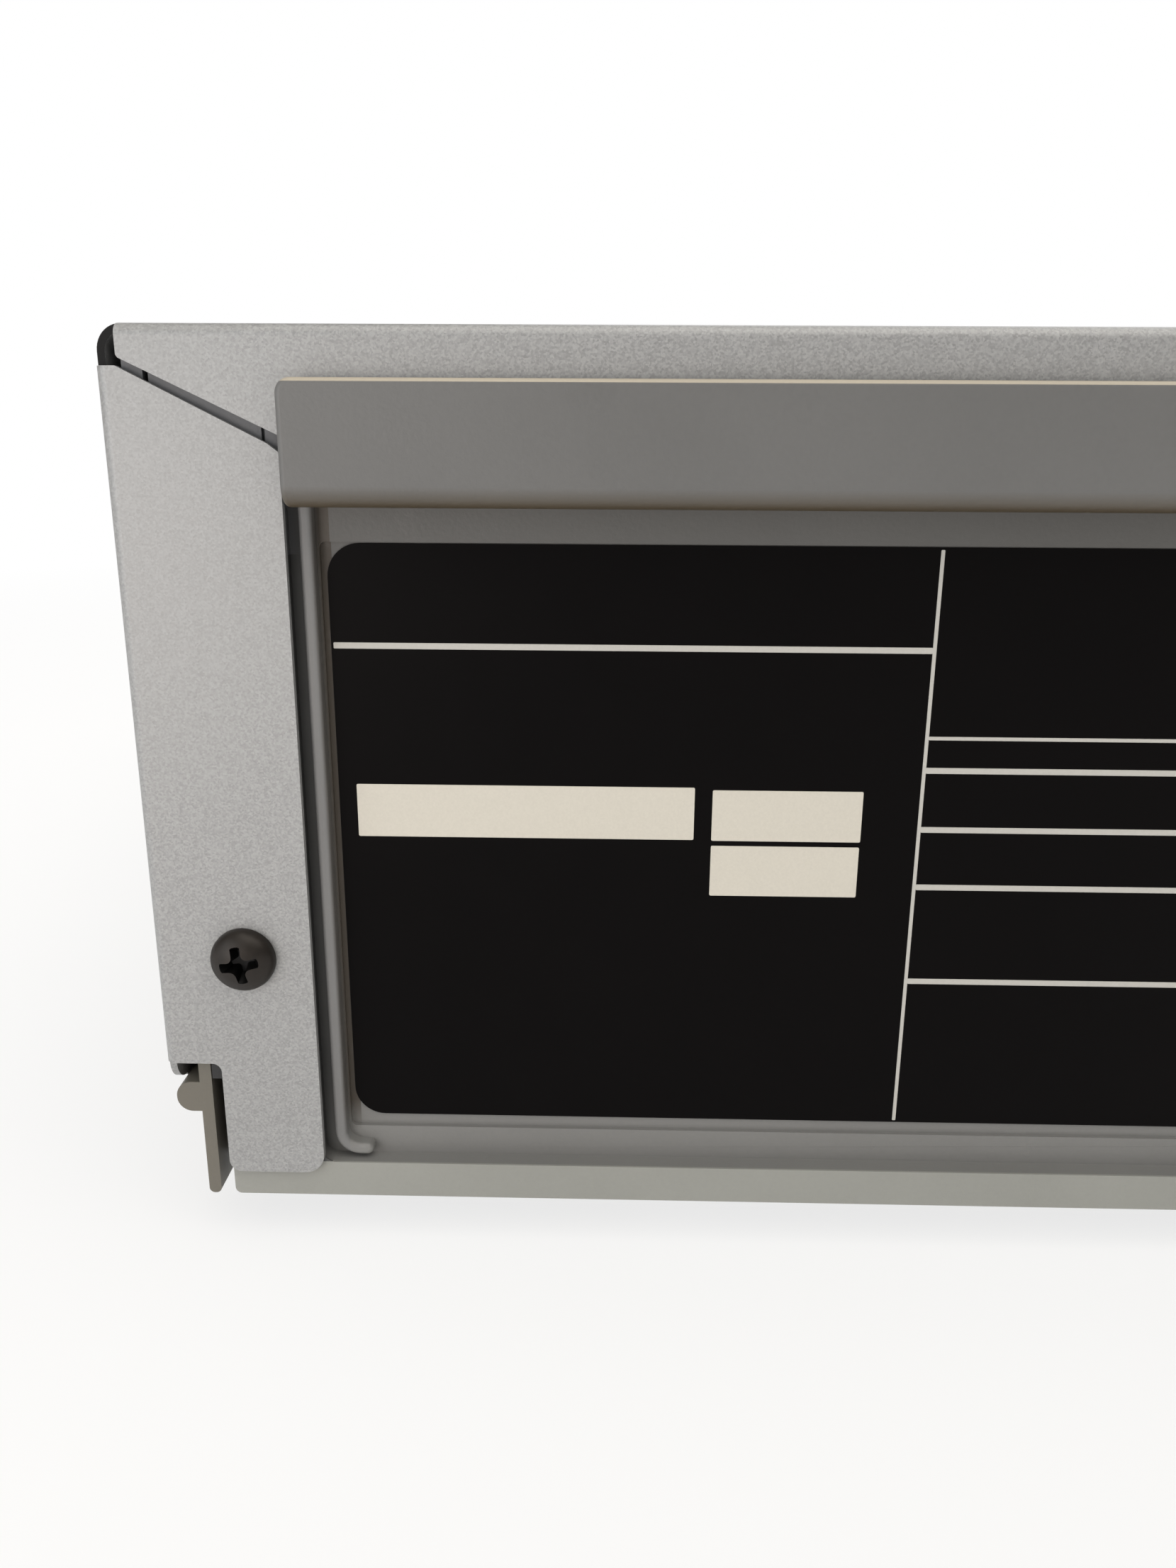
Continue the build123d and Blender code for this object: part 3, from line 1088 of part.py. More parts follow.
def loader_frame():
    """The drive's moulded frame: floor, side walls with tray rails, lugs, and the traverse's ears."""
    wall = RAIL_X + LOADER_WALL
    frame = level_form(rect((DRIVE_X - wall, DRIVE_X + wall), LOADER_Y) - traverse_opening(),
                       (LOADER_Z, LOADER_TOP))
    rail_top = TRAY_Z - RUN_GAP
    wall_top = TRAY_TOP + WALL_OVER_TRAY
    for side in (-1, 1):
        wall_x = sorted((DRIVE_X + side * RAIL_X, DRIVE_X + side * wall))
        frame += block(wall_x, LOADER_Y, (LOADER_Z, wall_top))
        ledge_x = sorted((DRIVE_X + side * (RAIL_X + 1), DRIVE_X + side * (RAIL_X - LEDGE)))
        frame += block(ledge_x, LOADER_Y, (rail_top - LEDGE_THICK, rail_top))
        hook_x = sorted((DRIVE_X + side * (RAIL_X + 1), DRIVE_X + side * (RAIL_X - HOOK_REACH)))
        for place in HOOK_PLACES:
            y = LOADER_Y[place < 0] + place
            frame += block(hook_x, (y, y + HOOK_LENGTH), (TRAY_TOP + RUN_GAP, wall_top))
    for x, y in LOADER_POSTS:
        lug_x = sorted((x, DRIVE_X + math.copysign(wall - 1, x - DRIVE_X)))
        frame += block(lug_x, (y - POST_R, y + POST_R), (LOADER_Z, LOADER_TOP + 1))
        frame += upright(x, y, (LOADER_Z, LOADER_TOP + 1), POST_R)
        frame -= upright(x, y, (LOADER_Z - 1, LOADER_TOP + 2), SCREW_HOLE_R)
    frame += upright(PINION_X, PINION_Y, (LOADER_Z, TRAY_Z - PINION_PIN_SHORT), PINION_PIN_R)
    frame += upright(PINION_X, PINION_Y, (LOADER_Z, PULLEY_Z - RUN_GAP), 2 * PINION_PIN_R)
    frame -= upright(MOTOR_X, PINION_Y, (LOADER_Z - 1, LOADER_TOP + 1), MOTOR_BOSS_R + FIT_GAP)
    for end in (DRIVE_X - TRAVERSE_LEFT - RUN_GAP, DRIVE_X + TRAVERSE_RIGHT + RUN_GAP):
        ear_x = sorted((end, end + math.copysign(EAR_THICK, end - DRIVE_X)))
        frame += block(ear_x, (HINGE_Y - EAR_HALF, HINGE_Y + EAR_HALF), (LOADER_Z, HINGE_Z + EAR_TOP))
        frame -= along_x((ear_x[0] - 1, ear_x[1] + 1), HINGE_Y, HINGE_Z, ROD_R + PIN_GAP)
    return frame


def tray_pinion():
    """The gear under the tray, one piece with the pulley that drives it."""
    pulley_top = PULLEY_Z + PULLEY_HEIGHT
    gear = level_form(involute_gear(PINION_TEETH, GEAR_MODULE), (pulley_top, TRAY_Z - 2 * RUN_GAP))
    gear = Pos(PINION_X, PINION_Y) * (gear + upright(0, 0, (PULLEY_Z, pulley_top + 0.5), PULLEY_R))
    return gear - upright(PINION_X, PINION_Y, (LOADER_Z, TRAY_Z), PINION_PIN_R + PIN_GAP)


def motor_pulley():
    """The small pulley on the tray motor's shaft."""
    pulley = upright(MOTOR_X, PINION_Y, (PULLEY_Z, PULLEY_Z + PULLEY_HEIGHT), MOTOR_PULLEY_R)
    return pulley + upright(MOTOR_X, PINION_Y, (LOADER_Z - MOTOR_SHAFT_IN, PULLEY_Z), MOTOR_SHAFT_R)


def tray_motor():
    """The tray's motor, hung under the loader's floor."""
    motor = upright(MOTOR_X, PINION_Y, (LOADER_Z - TRAY_MOTOR_LENGTH, LOADER_Z), TRAY_MOTOR_R)
    motor = fillet(edges_at(motor, lambda c: near(c.Z, LOADER_Z - TRAY_MOTOR_LENGTH)), TRAY_MOTOR_EDGE_R)
    motor += upright(MOTOR_X, PINION_Y, (LOADER_Z, PULLEY_Z - RUN_GAP), MOTOR_BOSS_R)
    bore = (LOADER_Z - MOTOR_SHAFT_IN - 1, PULLEY_Z)
    return motor - upright(MOTOR_X, PINION_Y, bore, MOTOR_SHAFT_R + PIN_GAP)


def tray_belt():
    """The belt round the two pulleys."""
    def loop(out):
        circles = [Pos(PINION_X, PINION_Y) * Circle(PULLEY_R + out),
                   Pos(MOTOR_X, PINION_Y) * Circle(MOTOR_PULLEY_R + out)]
        return make_hull([edge for circle in circles for edge in circle.edges()])
    foot = PULLEY_Z + BELT_RISE
    return level_form(loop(RUN_GAP + BELT) - loop(RUN_GAP), (foot, foot + BELT))


def clamp_bridge():
    """The bar over the tray that holds the disc clamp."""
    foot = TRAY_TOP + WALL_OVER_TRAY
    under = TRAY_TOP + CLAMP_OVER_TRAY + CLAMP_RING
    wall = RAIL_X + LOADER_WALL
    outline = rect((DRIVE_X - wall, DRIVE_X + wall), (SPINDLE_Y - BRIDGE_HALF, SPINDLE_Y + BRIDGE_HALF),
                   BRIDGE_R)
    bridge = level_form(outline, (under, under + BRIDGE_SHEET))
    for side in (-1, 1):
        leg_x = sorted((DRIVE_X + side * RAIL_X, DRIVE_X + side * wall))
        leg_y = (SPINDLE_Y - BRIDGE_LEG_HALF, SPINDLE_Y + BRIDGE_LEG_HALF)
        bridge += block(leg_x, leg_y, (foot, under + BRIDGE_SHEET / 2))
    through = (under - 1, under + BRIDGE_SHEET + 1)
    return bridge - upright(DRIVE_X, SPINDLE_Y, through, CLAMP_NECK_R + RUN_GAP)


def disc_clamp():
    """The puck that holds a disc down: a pressure ring, a neck through the bridge, and a cap."""
    foot = TRAY_TOP + CLAMP_OVER_TRAY
    under = foot + CLAMP_RING
    over = under + BRIDGE_SHEET
    puck = upright(DRIVE_X, SPINDLE_Y, (foot, under - RUN_GAP), CLAMP_R)
    puck += upright(DRIVE_X, SPINDLE_Y, (under - 1, over + 1), CLAMP_NECK_R)
    puck += upright(DRIVE_X, SPINDLE_Y, (over + RUN_GAP, over + CLAMP_CAP), CLAMP_R - CLAMP_CAP_INSET)
    return puck - upright(DRIVE_X, SPINDLE_Y, (foot - 1, foot + CLAMP_BORE), HUB_R + RUN_GAP)


def traverse_plate():
    """The plate that carries spindle, rods and pickup, hinged at its rear end."""
    through = (TRAVERSE_TOP - TRAVERSE_SHEET - 1, TRAVERSE_TOP + 1)
    x_ends = (DRIVE_X - TRAVERSE_LEFT, DRIVE_X + TRAVERSE_RIGHT)
    outline = rect(x_ends, (SPINDLE_Y - TRAVERSE_AHEAD, HINGE_Y + TRAVERSE_BEHIND), TRAVERSE_CORNER_R)
    plate = level_form(outline, (TRAVERSE_TOP - TRAVERSE_SHEET, TRAVERSE_TOP))
    width, start, end = PICKUP_WINDOW
    window = rect((DRIVE_X - width / 2, DRIVE_X + width / 2), (SPINDLE_Y + start, SPINDLE_Y + end),
                  TRAVERSE_CORNER_R * 0.75)
    plate -= level_form(window, through)
    plate -= upright(DRIVE_X, SPINDLE_Y, through, SPINDLE_BOSS_R + FIT_GAP)
    half = SLED_MOTOR_R + FIT_GAP
    plate -= level_form(rect((LEAD_X - half, LEAD_X + half),
                             (SLED_MOTOR_Y, SLED_MOTOR_Y + SLED_MOTOR_LENGTH + 1)), through)
    width, length, over = ROD_BLOCK
    rods = [SPINDLE_Y + end for end in ROD_ENDS]
    for side in (-1, 1):
        rod_x = DRIVE_X + side * ROD_APART / 2
        for y in (rods[0], rods[1] - length):
            plate += block((rod_x - width / 2, rod_x + width / 2), (y, y + length),
                           (TRAVERSE_TOP - 1, ROD_Z + over))
        plate -= along_y(rod_x, rods, ROD_Z, ROD_R + PIN_GAP)
    lead_y = SPINDLE_Y + LEAD_BLOCK_START
    plate += block((LEAD_X - width / 2, LEAD_X + width / 2), (lead_y, lead_y + length),
                   (TRAVERSE_TOP - 1, ROD_Z + TRAVERSE_SHEET))
    plate -= along_y(LEAD_X, (lead_y + 1, lead_y + length + 1), LEAD_Z, ROD_R + PIN_GAP)
    pin_in = HINGE_PIN - HINGE_PIN_OUT
    plate += along_x((x_ends[0] - HINGE_PIN_OUT, x_ends[0] + pin_in), HINGE_Y, HINGE_Z, ROD_R)
    plate += along_x((x_ends[1] - pin_in, x_ends[1] + HINGE_PIN_OUT), HINGE_Y, HINGE_Z, ROD_R)
    return lowered(plate)


def drive_motors():
    """The spindle motor under the traverse plate and the sled motor at its rear."""
    under = TRAVERSE_TOP - TRAVERSE_SHEET
    spindle = upright(DRIVE_X, SPINDLE_Y, (under - SPINDLE_MOTOR_H, under), SPINDLE_MOTOR_R)
    spindle += upright(DRIVE_X, SPINDLE_Y, (under, TRAVERSE_TOP + 1), SPINDLE_BOSS_R)
    spindle += upright(DRIVE_X, SPINDLE_Y, (TRAVERSE_TOP, SUPPORT_Z - SHAFT_BELOW_DISC), SPINDLE_SHAFT_R)
    sled = along_y(LEAD_X, (SLED_MOTOR_Y, SLED_MOTOR_Y + SLED_MOTOR_LENGTH), LEAD_Z, SLED_MOTOR_R)
    bore = (SLED_MOTOR_Y - 1, SLED_MOTOR_Y + LEAD_TAIL + LEAD_END_ROOM)
    sled -= along_y(LEAD_X, bore, LEAD_Z, LEAD_TAIL_R + PIN_GAP)
    return Compound([lowered(spindle), lowered(sled)])


def turntable():
    """The turntable: disc support, centring hub and a sleeve on the spindle's shaft."""
    table = upright(DRIVE_X, SPINDLE_Y, (SUPPORT_Z - TURNTABLE_THICK, SUPPORT_Z), TURNTABLE_R)
    hub_top = SUPPORT_Z + HUB_RISE
    hub = upright(DRIVE_X, SPINDLE_Y, (SUPPORT_Z - 1, hub_top), HUB_R)
    hub = chamfer(edges_at(hub, lambda c: near(c.Z, hub_top)), HUB_CHAMFER)
    sleeve = (TRAVERSE_TOP + 1 + RUN_GAP, SUPPORT_Z - 1)
    table += hub + upright(DRIVE_X, SPINDLE_Y, sleeve, TABLE_SLEEVE_R)
    bore = (TRAVERSE_TOP, SUPPORT_Z - SHAFT_BELOW_DISC + FIT_GAP)
    return lowered(table - upright(DRIVE_X, SPINDLE_Y, bore, SPINDLE_SHAFT_R + PIN_GAP))


def guide_rods():
    """The two rods that the pickup runs on."""
    ends = [SPINDLE_Y + end for end in ROD_ENDS]
    places = (DRIVE_X - ROD_APART / 2, DRIVE_X + ROD_APART / 2)
    return Compound([lowered(along_y(x, ends, ROD_Z, ROD_R)) for x in places])


def pickup_sled():
    """The optical pickup: a sled on two rods, its lens, and a nut on the lead screw."""
    middle = SPINDLE_Y + PICKUP_START
    y_ends = (middle - PICKUP_LENGTH / 2, middle + PICKUP_LENGTH / 2)
    half = ROD_APART / 2 + ROD_BLOCK[0] / 2
    sled = block((DRIVE_X - half, DRIVE_X + half), y_ends,
                 (TRAVERSE_TOP + SLED_RISE, ROD_Z + SLED_OVER_ROD))
    reach, below, corner = LENS_BLOCK
    lens_foot = SUPPORT_Z - below
    sled += level_form(rect((DRIVE_X - reach, DRIVE_X + reach), (y_ends[0] + 1, y_ends[1] - 1), corner),
                       (ROD_Z, lens_foot))
    sled += upright(DRIVE_X, middle, (lens_foot, SUPPORT_Z - LENS_BELOW_DISC), LENS_R)
    sled += block((DRIVE_X + half - 1, LEAD_X + half - ROD_APART / 2),
                  (middle - NUT_HALF, middle + NUT_HALF), (LEAD_Z - ROD_R, LEAD_Z + NUT_OVER))
    for side in (-1, 1):
        rod_x = DRIVE_X + side * ROD_APART / 2
        sled -= along_y(rod_x, (y_ends[0] - 1, y_ends[1] + 1), ROD_Z, ROD_R + PIN_GAP)
    through = (middle - NUT_HALF - 1, middle + NUT_HALF + 1)
    return lowered(sled - along_y(LEAD_X, through, LEAD_Z, ROD_R + RUN_GAP))


def lead_screw():
    """The screw that moves the pickup, turned by the sled motor."""
    start, end = (SPINDLE_Y + place for place in LEAD_ENDS)
    screw = along_y(LEAD_X, (start, end), LEAD_Z, ROD_R)
    return lowered(screw + along_y(LEAD_X, (end - LEAD_END_ROOM, end + LEAD_TAIL), LEAD_Z, LEAD_TAIL_R))


# Cassette deck

def tape_guide_place(side, turn):
    """Where a tape guide stands at an angle of its travel round the drum; side +1 is take-up."""
    angle = math.radians(-90 + side * (90 - TAPE_GUIDE_START + turn))
    return DRUM_X + TAPE_GUIDE_R * math.cos(angle), DRUM_Y + TAPE_GUIDE_R * math.sin(angle)


def deck_plate():
    """Pressed steel deck: a corner cut for the power board, guide slots, and riveted pivot pins."""
    outline = rect((DECK_LEFT, DECK_RIGHT), (DECK_Y, DECK_REAR), DECK_R)
    outline -= rect((DECK_LEFT - 1, CUT_X), (CUT_Y, DECK_REAR + 1), DECK_R)
    slot = 2 * (TAPE_GUIDE_PIN_R + RUN_GAP)
    for start, turn in ((-TAPE_GUIDE_START, TAPE_GUIDE_TURN), (TAPE_GUIDE_START - 180, -TAPE_GUIDE_TURN)):
        outline -= Pos(DRUM_X, DRUM_Y) * SlotArc(CenterArc((0, 0), TAPE_GUIDE_R, start, turn), slot)
    outline -= Pos(CAPSTAN_X, CAPSTAN_Y) * Circle(SLEEVE_R + FIT_GAP)
    for x, y in DECK_POSTS:
        outline -= Pos(x, y) * Circle(SCREW_HOLE_R)
    deck = level_form(outline, (DECK_Z, DECK_TOP))
    for side in (-1, 1):
        reel_x = DECK_X + side * REEL_APART / 2
        deck += upright(reel_x, REEL_Y, (DECK_Z, DECK_TOP + REEL_PIN), SPINDLE_PIN_R)
    deck += upright(PIVOT_X, PIVOT_Y, (DECK_Z, DECK_TOP + PIVOT_PIN), SPINDLE_PIN_R)
    return deck


def path_pins():
    """Depth and height of the holder's two pins, from its front edge and foot."""
    return list(zip(PATH_PIN_BACK, (PATH_PIN_RISE, PATH_PIN_RISE + HOLDER_DOWN + PATH_PIN_STEP)))


def cassette_guides():
    """The two brackets beside the holder, with a window for the path of each of its pins."""
    out = PATH_PIN_R + RUN_GAP
    y_ends = (HOLDER_Y, HOLDER_Y + HOLDER_LENGTH + HOLDER_IN)
    outline = rect(y_ends, (DECK_TOP, HOLDER_TOP + HOLDER_SHEET + 1), 2)
    for y, rise in path_pins():
        pin = (HOLDER_Y + y, HOLDER_Z + rise)
        ends = [pin, (pin[0] + HOLDER_IN, pin[1]), (pin[0] + HOLDER_IN, pin[1] - HOLDER_DOWN)]
        outline -= make_hull([edge for end in ends for edge in (Pos(*end) * Circle(out)).edges()])
    sides = []
    for side in (-1, 1):
        x = DECK_X + side * GUIDE_FACE
        wall = Plane(origin=(x, 0, 0), x_dir=(0, 1, 0), z_dir=(1, 0, 0))
        foot_x = sorted((x, x - side * GUIDE_FOOT))
        foot = block(foot_x, (y_ends[0] + GUIDE_FOOT_ENDS[0], y_ends[1] - GUIDE_FOOT_ENDS[1]),
                     (DECK_TOP, DECK_TOP + GUIDE_SHEET))
        sides.append(extrude(wall * outline, side * GUIDE_SHEET) + foot)
    return Compound(sides)


def cassette_holder():
    """The folded sheet carriage that takes the cassette in and down: roof, sides, lips and pins."""
    y_ends = (HOLDER_Y, HOLDER_Y + HOLDER_LENGTH)
    outer = HOLDER_HALF + HOLDER_SHEET
    profile = rect((DECK_X - outer, DECK_X + outer), (HOLDER_Z, HOLDER_TOP + HOLDER_SHEET), HOLDER_R)
    profile -= rect((DECK_X - HOLDER_HALF, DECK_X + HOLDER_HALF), (CASSETTE_Z, HOLDER_TOP),
                    HOLDER_R - HOLDER_SHEET)
    open_foot = HOLDER_HALF - HOLDER_LIP
    profile -= rect((DECK_X - open_foot, DECK_X + open_foot), (HOLDER_Z - 1, CASSETTE_Z + 1))
    holder = front_form(profile, HOLDER_FROM_FRONT, HOLDER_FROM_FRONT + HOLDER_LENGTH)
    width, ahead, behind = HOLDER_WINDOW
    window = rect((DECK_X - width / 2, DECK_X + width / 2), (y_ends[0] + ahead, y_ends[1] - behind),
                  behind / 2)
    holder -= level_form(window, (HOLDER_TOP - 1, HOLDER_TOP + HOLDER_SHEET + 1))
    reach = GUIDE_APART + GUIDE_SHEET + PATH_PIN_PROUD
    for side in (-1, 1):
        start = DECK_X + side * (outer - HOLDER_SHEET / 2)
        for y, rise in path_pins():
            pin_x = sorted((start, DECK_X + side * (outer + reach)))
            holder += along_x(pin_x, HOLDER_Y + y, HOLDER_Z + rise, PATH_PIN_R)
    return holder


def cassette_stops():
    """The two tabs on the holder's lips that a cassette is pushed against."""
    rear = HOLDER_Y + HOLDER_LENGTH
    tabs = []
    for side in (-1, 1):
        outer, inner = HOLDER_HALF - STOP_INSET, HOLDER_HALF - HOLDER_LIP
        ends = sorted((DECK_X + side * outer, DECK_X + side * inner))
        tabs.append(block(ends, (rear - HOLDER_SHEET, rear), (CASSETTE_Z, CASSETTE_Z + STOP_HEIGHT)))
    return Compound(tabs)


def lower_drum():
    """The fixed half of the head drum, with its slanted tape ledge and the shaft."""
    drum = upright(DRUM_X, DRUM_Y, (DECK_TOP, DECK_TOP + LOWER_DRUM_H), DRUM_R)
    ledge = upright(DRUM_X, DRUM_Y, (DECK_TOP, DECK_TOP + LEDGE_HEIGHT[1]), DRUM_R + LEDGE_OUT)
    above = block((-2 * DRUM_R, 2 * DRUM_R), (-2 * DRUM_R, 2 * DRUM_R), (0, LOWER_DRUM_H))
    drum += ledge - Pos(DRUM_X, DRUM_Y, DECK_TOP + LEDGE_HEIGHT[0]) * Rot(0, LEDGE_TILT, 0) * above
    shaft_top = DECK_TOP + LOWER_DRUM_H + UPPER_DRUM_H - DRUM_CAP
    return drum + upright(DRUM_X, DRUM_Y, (DECK_TOP, shaft_top), DRUM_SHAFT_R)


def upper_drum():
    """The spinning half of the head drum, with a ring recess and head windows."""
    foot = DECK_TOP + LOWER_DRUM_H + RUN_GAP
    top = foot + UPPER_DRUM_H
    drum = upright(DRUM_X, DRUM_Y, (foot, top), DRUM_R)
    ring = upright(DRUM_X, DRUM_Y, (top - DRUM_RING_DEPTH, top + 1), DRUM_R - DRUM_RIM)
    drum -= ring - upright(DRUM_X, DRUM_Y, (0, top + 2), DRUM_HUB_R)
    width, depth, height = HEAD_WINDOW
    for angle in (0, 180):
        window = block((DRUM_R - depth, DRUM_R + depth), (-width / 2, width / 2), (foot - 1, foot + height))
        drum -= Pos(DRUM_X, DRUM_Y) * Rot(0, 0, angle) * window
    return drum - upright(DRUM_X, DRUM_Y, (0, top - DRUM_CAP + 0.5), DRUM_SHAFT_R + PIN_GAP)


def capstan_motor():
    """The capstan's stator plate and bearing sleeve, fixed under the deck."""
    motor = upright(CAPSTAN_X, CAPSTAN_Y, (DECK_Z - STATOR, DECK_Z), ROTOR_R - STATOR_INSET)
    motor += upright(CAPSTAN_X, CAPSTAN_Y, (DECK_Z - STATOR, DECK_TOP + SLEEVE_RISE), SLEEVE_R)
    return motor - upright(CAPSTAN_X, CAPSTAN_Y, (0, DECK_TOP + SLEEVE_RISE + 1), CAPSTAN_R + PIN_GAP)


def capstan():
    """The capstan shaft with its rotor below the deck."""
    rotor_top = DECK_Z - STATOR - RUN_GAP
    rotor = upright(CAPSTAN_X, CAPSTAN_Y, (rotor_top - ROTOR_H, rotor_top), ROTOR_R)
    rotor = fillet(edges_at(rotor, lambda c: near(c.Z, rotor_top - ROTOR_H)), 1.0)
    return rotor + upright(CAPSTAN_X, CAPSTAN_Y, (rotor_top - 1, DECK_TOP + CAPSTAN_RISE), CAPSTAN_R)


def pinch_roller_place():
    """Where the pinch roller stands at rest, its arm swung off the capstan."""
    reach = (CAPSTAN_R + PINCH_R + RUN_GAP - PINCH_PIVOT[0], -PINCH_PIVOT[1])
    turn = math.radians(PINCH_TURN)
    return (PIVOT_X + reach[0] * math.cos(turn) - reach[1] * math.sin(turn),
            PIVOT_Y + reach[0] * math.sin(turn) + reach[1] * math.cos(turn))


def pinch_arm():
    """The arm that swings the pinch roller against the capstan, with the roller's pin."""
    x, y = pinch_roller_place()
    foot = DECK_TOP + RUN_GAP
    ends = [Pos(PIVOT_X, PIVOT_Y) * Circle(ARM_ENDS[0]), Pos(x, y) * Circle(ARM_ENDS[1])]
    arm = level_form(make_hull([edge for end in ends for edge in end.edges()]), (foot, foot + ARM_THICK))
    arm += upright(PIVOT_X, PIVOT_Y, (foot, foot + ARM_TUBE), ARM_ENDS[0])
    arm += upright(x, y, (foot, foot + ARM_THICK + PINCH_LENGTH + PINCH_PIN_OVER), PINCH_PIN_R)
    return arm - upright(PIVOT_X, PIVOT_Y, (DECK_Z, foot + ARM_TUBE + 1), SPINDLE_PIN_R + PIN_GAP)


def pinch_roller():
    """The rubber roller on the pinch arm."""
    x, y = pinch_roller_place()
    foot = DECK_TOP + ARM_THICK + 2 * RUN_GAP
    roller = upright(x, y, (foot, foot + PINCH_LENGTH), PINCH_R)
    return roller - upright(x, y, (foot - 1, foot + PINCH_LENGTH + 1), PINCH_PIN_R + PIN_GAP)


def reel(side):
    """A reel table: flange, and a splined hub that drives the cassette's reel."""
    x = DECK_X + side * REEL_APART / 2
    foot = DECK_TOP + RUN_GAP
    table = upright(x, REEL_Y, (foot, foot + REEL_FLANGE), REEL_R)
    table += upright(x, REEL_Y, (foot, foot + REEL_HUB), REEL_HUB_R)
    for spline in range(6):
        fin = block((REEL_HUB_R - 1, REEL_HUB_R + SPLINE[0]), (-SPLINE[1] / 2, SPLINE[1] / 2),
                    (foot + 1, foot + REEL_HUB - 1))
        table += Pos(x, REEL_Y) * Rot(0, 0, 60 * spline) * fin
    return table - upright(x, REEL_Y, (DECK_Z, foot + REEL_HUB + 1), SPINDLE_PIN_R + PIN_GAP)


def tape_guide(side):
    """A tape guide: a foot running on the deck, a pin in its slot, and the post the tape goes round."""
    x, y = tape_guide_place(side, 0)
    foot = DECK_TOP + RUN_GAP
    top = foot + TAPE_GUIDE_HEIGHT
    guide = upright(x, y, (foot, foot + TAPE_GUIDE_FOOT[1]), TAPE_GUIDE_FOOT[0])
    guide += upright(x, y, (top - TAPE_GUIDE_HEAD[1], top), TAPE_GUIDE_HEAD[0])
    return guide + upright(x, y, (DECK_Z - TAPE_GUIDE_BELOW, top), TAPE_GUIDE_PIN_R)


# Boards and rear sockets

def board_part(corner, place, size):
    """A block standing on a board, its middle given from the board's corner."""
    width, depth, height = size
    part = Pos(0, 0, (BOARD_Z + BOARD_TOP + height) / 2) * Box(width, depth, BOARD_THICK + height)
    return Pos(corner[0] + place[0], corner[1] + place[1]) * part


def main_board():
    """The main board: holes for the decks' posts, a screened block and a few large parts."""
    outline = rect(MAIN_X, MAIN_Y)
    for x, y in MAIN_SCREWS:
        outline -= Pos(x, y) * Circle(SCREW_HOLE_R)
    for x, y in DECK_POSTS + LOADER_POSTS:
        if y > MAIN_Y[0] and x > MAIN_X[0]:
            outline -= Pos(x, y) * Circle(POST_R + POST_ROOM)
    board = level_form(outline, (BOARD_Z, BOARD_TOP))
    corner = (MAIN_X[0], MAIN_Y[0])
    middle = MAIN_BOARD_DEPTH / 2
    board += board_part(corner, (DRIVE_X - SCREENED_LEFT - MAIN_X[0], middle), SCREENED_BLOCK)
    board += board_part(corner, CHIP_AT, CHIP)
    radius, height = MAIN_CAPACITOR
    for column in range(4):
        board += upright(DRIVE_X + column * MAIN_CAPACITOR_PITCH, corner[1] + middle + MAIN_CAPACITOR_PITCH,
                         (BOARD_Z, BOARD_TOP + height), radius)
    return board


def power_board():
    """The power supply: its board, transformer, cooling plate and large capacitors."""
    outline = rect(POWER_X, POWER_Y)
    for x, y in POWER_SCREWS:
        outline -= Pos(x, y) * Circle(SCREW_HOLE_R)
    board = level_form(outline, (BOARD_Z, BOARD_TOP))
    corner = (POWER_X[0], POWER_Y[0])
    core = board_part(corner, TRANSFORMER_AT, TRANSFORMER)
    board += fillet(core.edges().filter_by(Axis.Z), TRANSFORMER_R)
    board += board_part(corner, COOLING_AT, COOLING_PLATE)
    cans = [(RESERVOIR_AT, RESERVOIR)] + [(place, CAPACITOR) for place in CAPACITORS_AT]
    for (x, y), (radius, height) in cans:
        board += upright(corner[0] + x, corner[1] + y, (BOARD_Z, BOARD_TOP + height), radius)
    return board


def inner_screws():
    """The hexagon-headed screws that hold the boards, the deck and the loader to the frame."""
    screw = level_form(RegularPolygon(SCREW_HEAD_R, 6), (0, SCREW_HEAD_H))
    screw += upright(0, 0, (BOARD_THICK - SCREW_LENGTH, 0), SCREW_SHANK_R)
    screws = [Pos(x, y, BOARD_TOP) * screw for x, y in MAIN_SCREWS + POWER_SCREWS]
    screws += [Pos(x, y, DECK_TOP) * screw for x, y in DECK_POSTS]
    return Compound(screws + [Pos(x, y, LOADER_TOP + 1) * screw for x, y in LOADER_POSTS])


def tuner():
    """The screened tuner with its two antenna sockets through the rear panel."""
    width, height, depth = TUNER
    foot = BOARD_TOP - BASE
    can = rear_form(rect((ANTENNA_U - width / 2, ANTENNA_U + width / 2), (foot, foot + height), 1),
                    PANEL_IN + depth, PANEL_IN)
    for w in (LOWER_JACKS, UPPER_JACKS):
        place = Pos(ANTENNA_U, w)
        collar_t = RECESS_T - ANTENNA_COLLAR_PROUD
        can += rear_form(place * Circle(ANTENNA_R + ANTENNA_COLLAR), PANEL_IN, collar_t)
        can += rear_form(place * Circle(ANTENNA_R), collar_t, -JACK_REACH)
        can -= rear_form(place * Circle(1.0), 0, -JACK_REACH - 1)
    return can


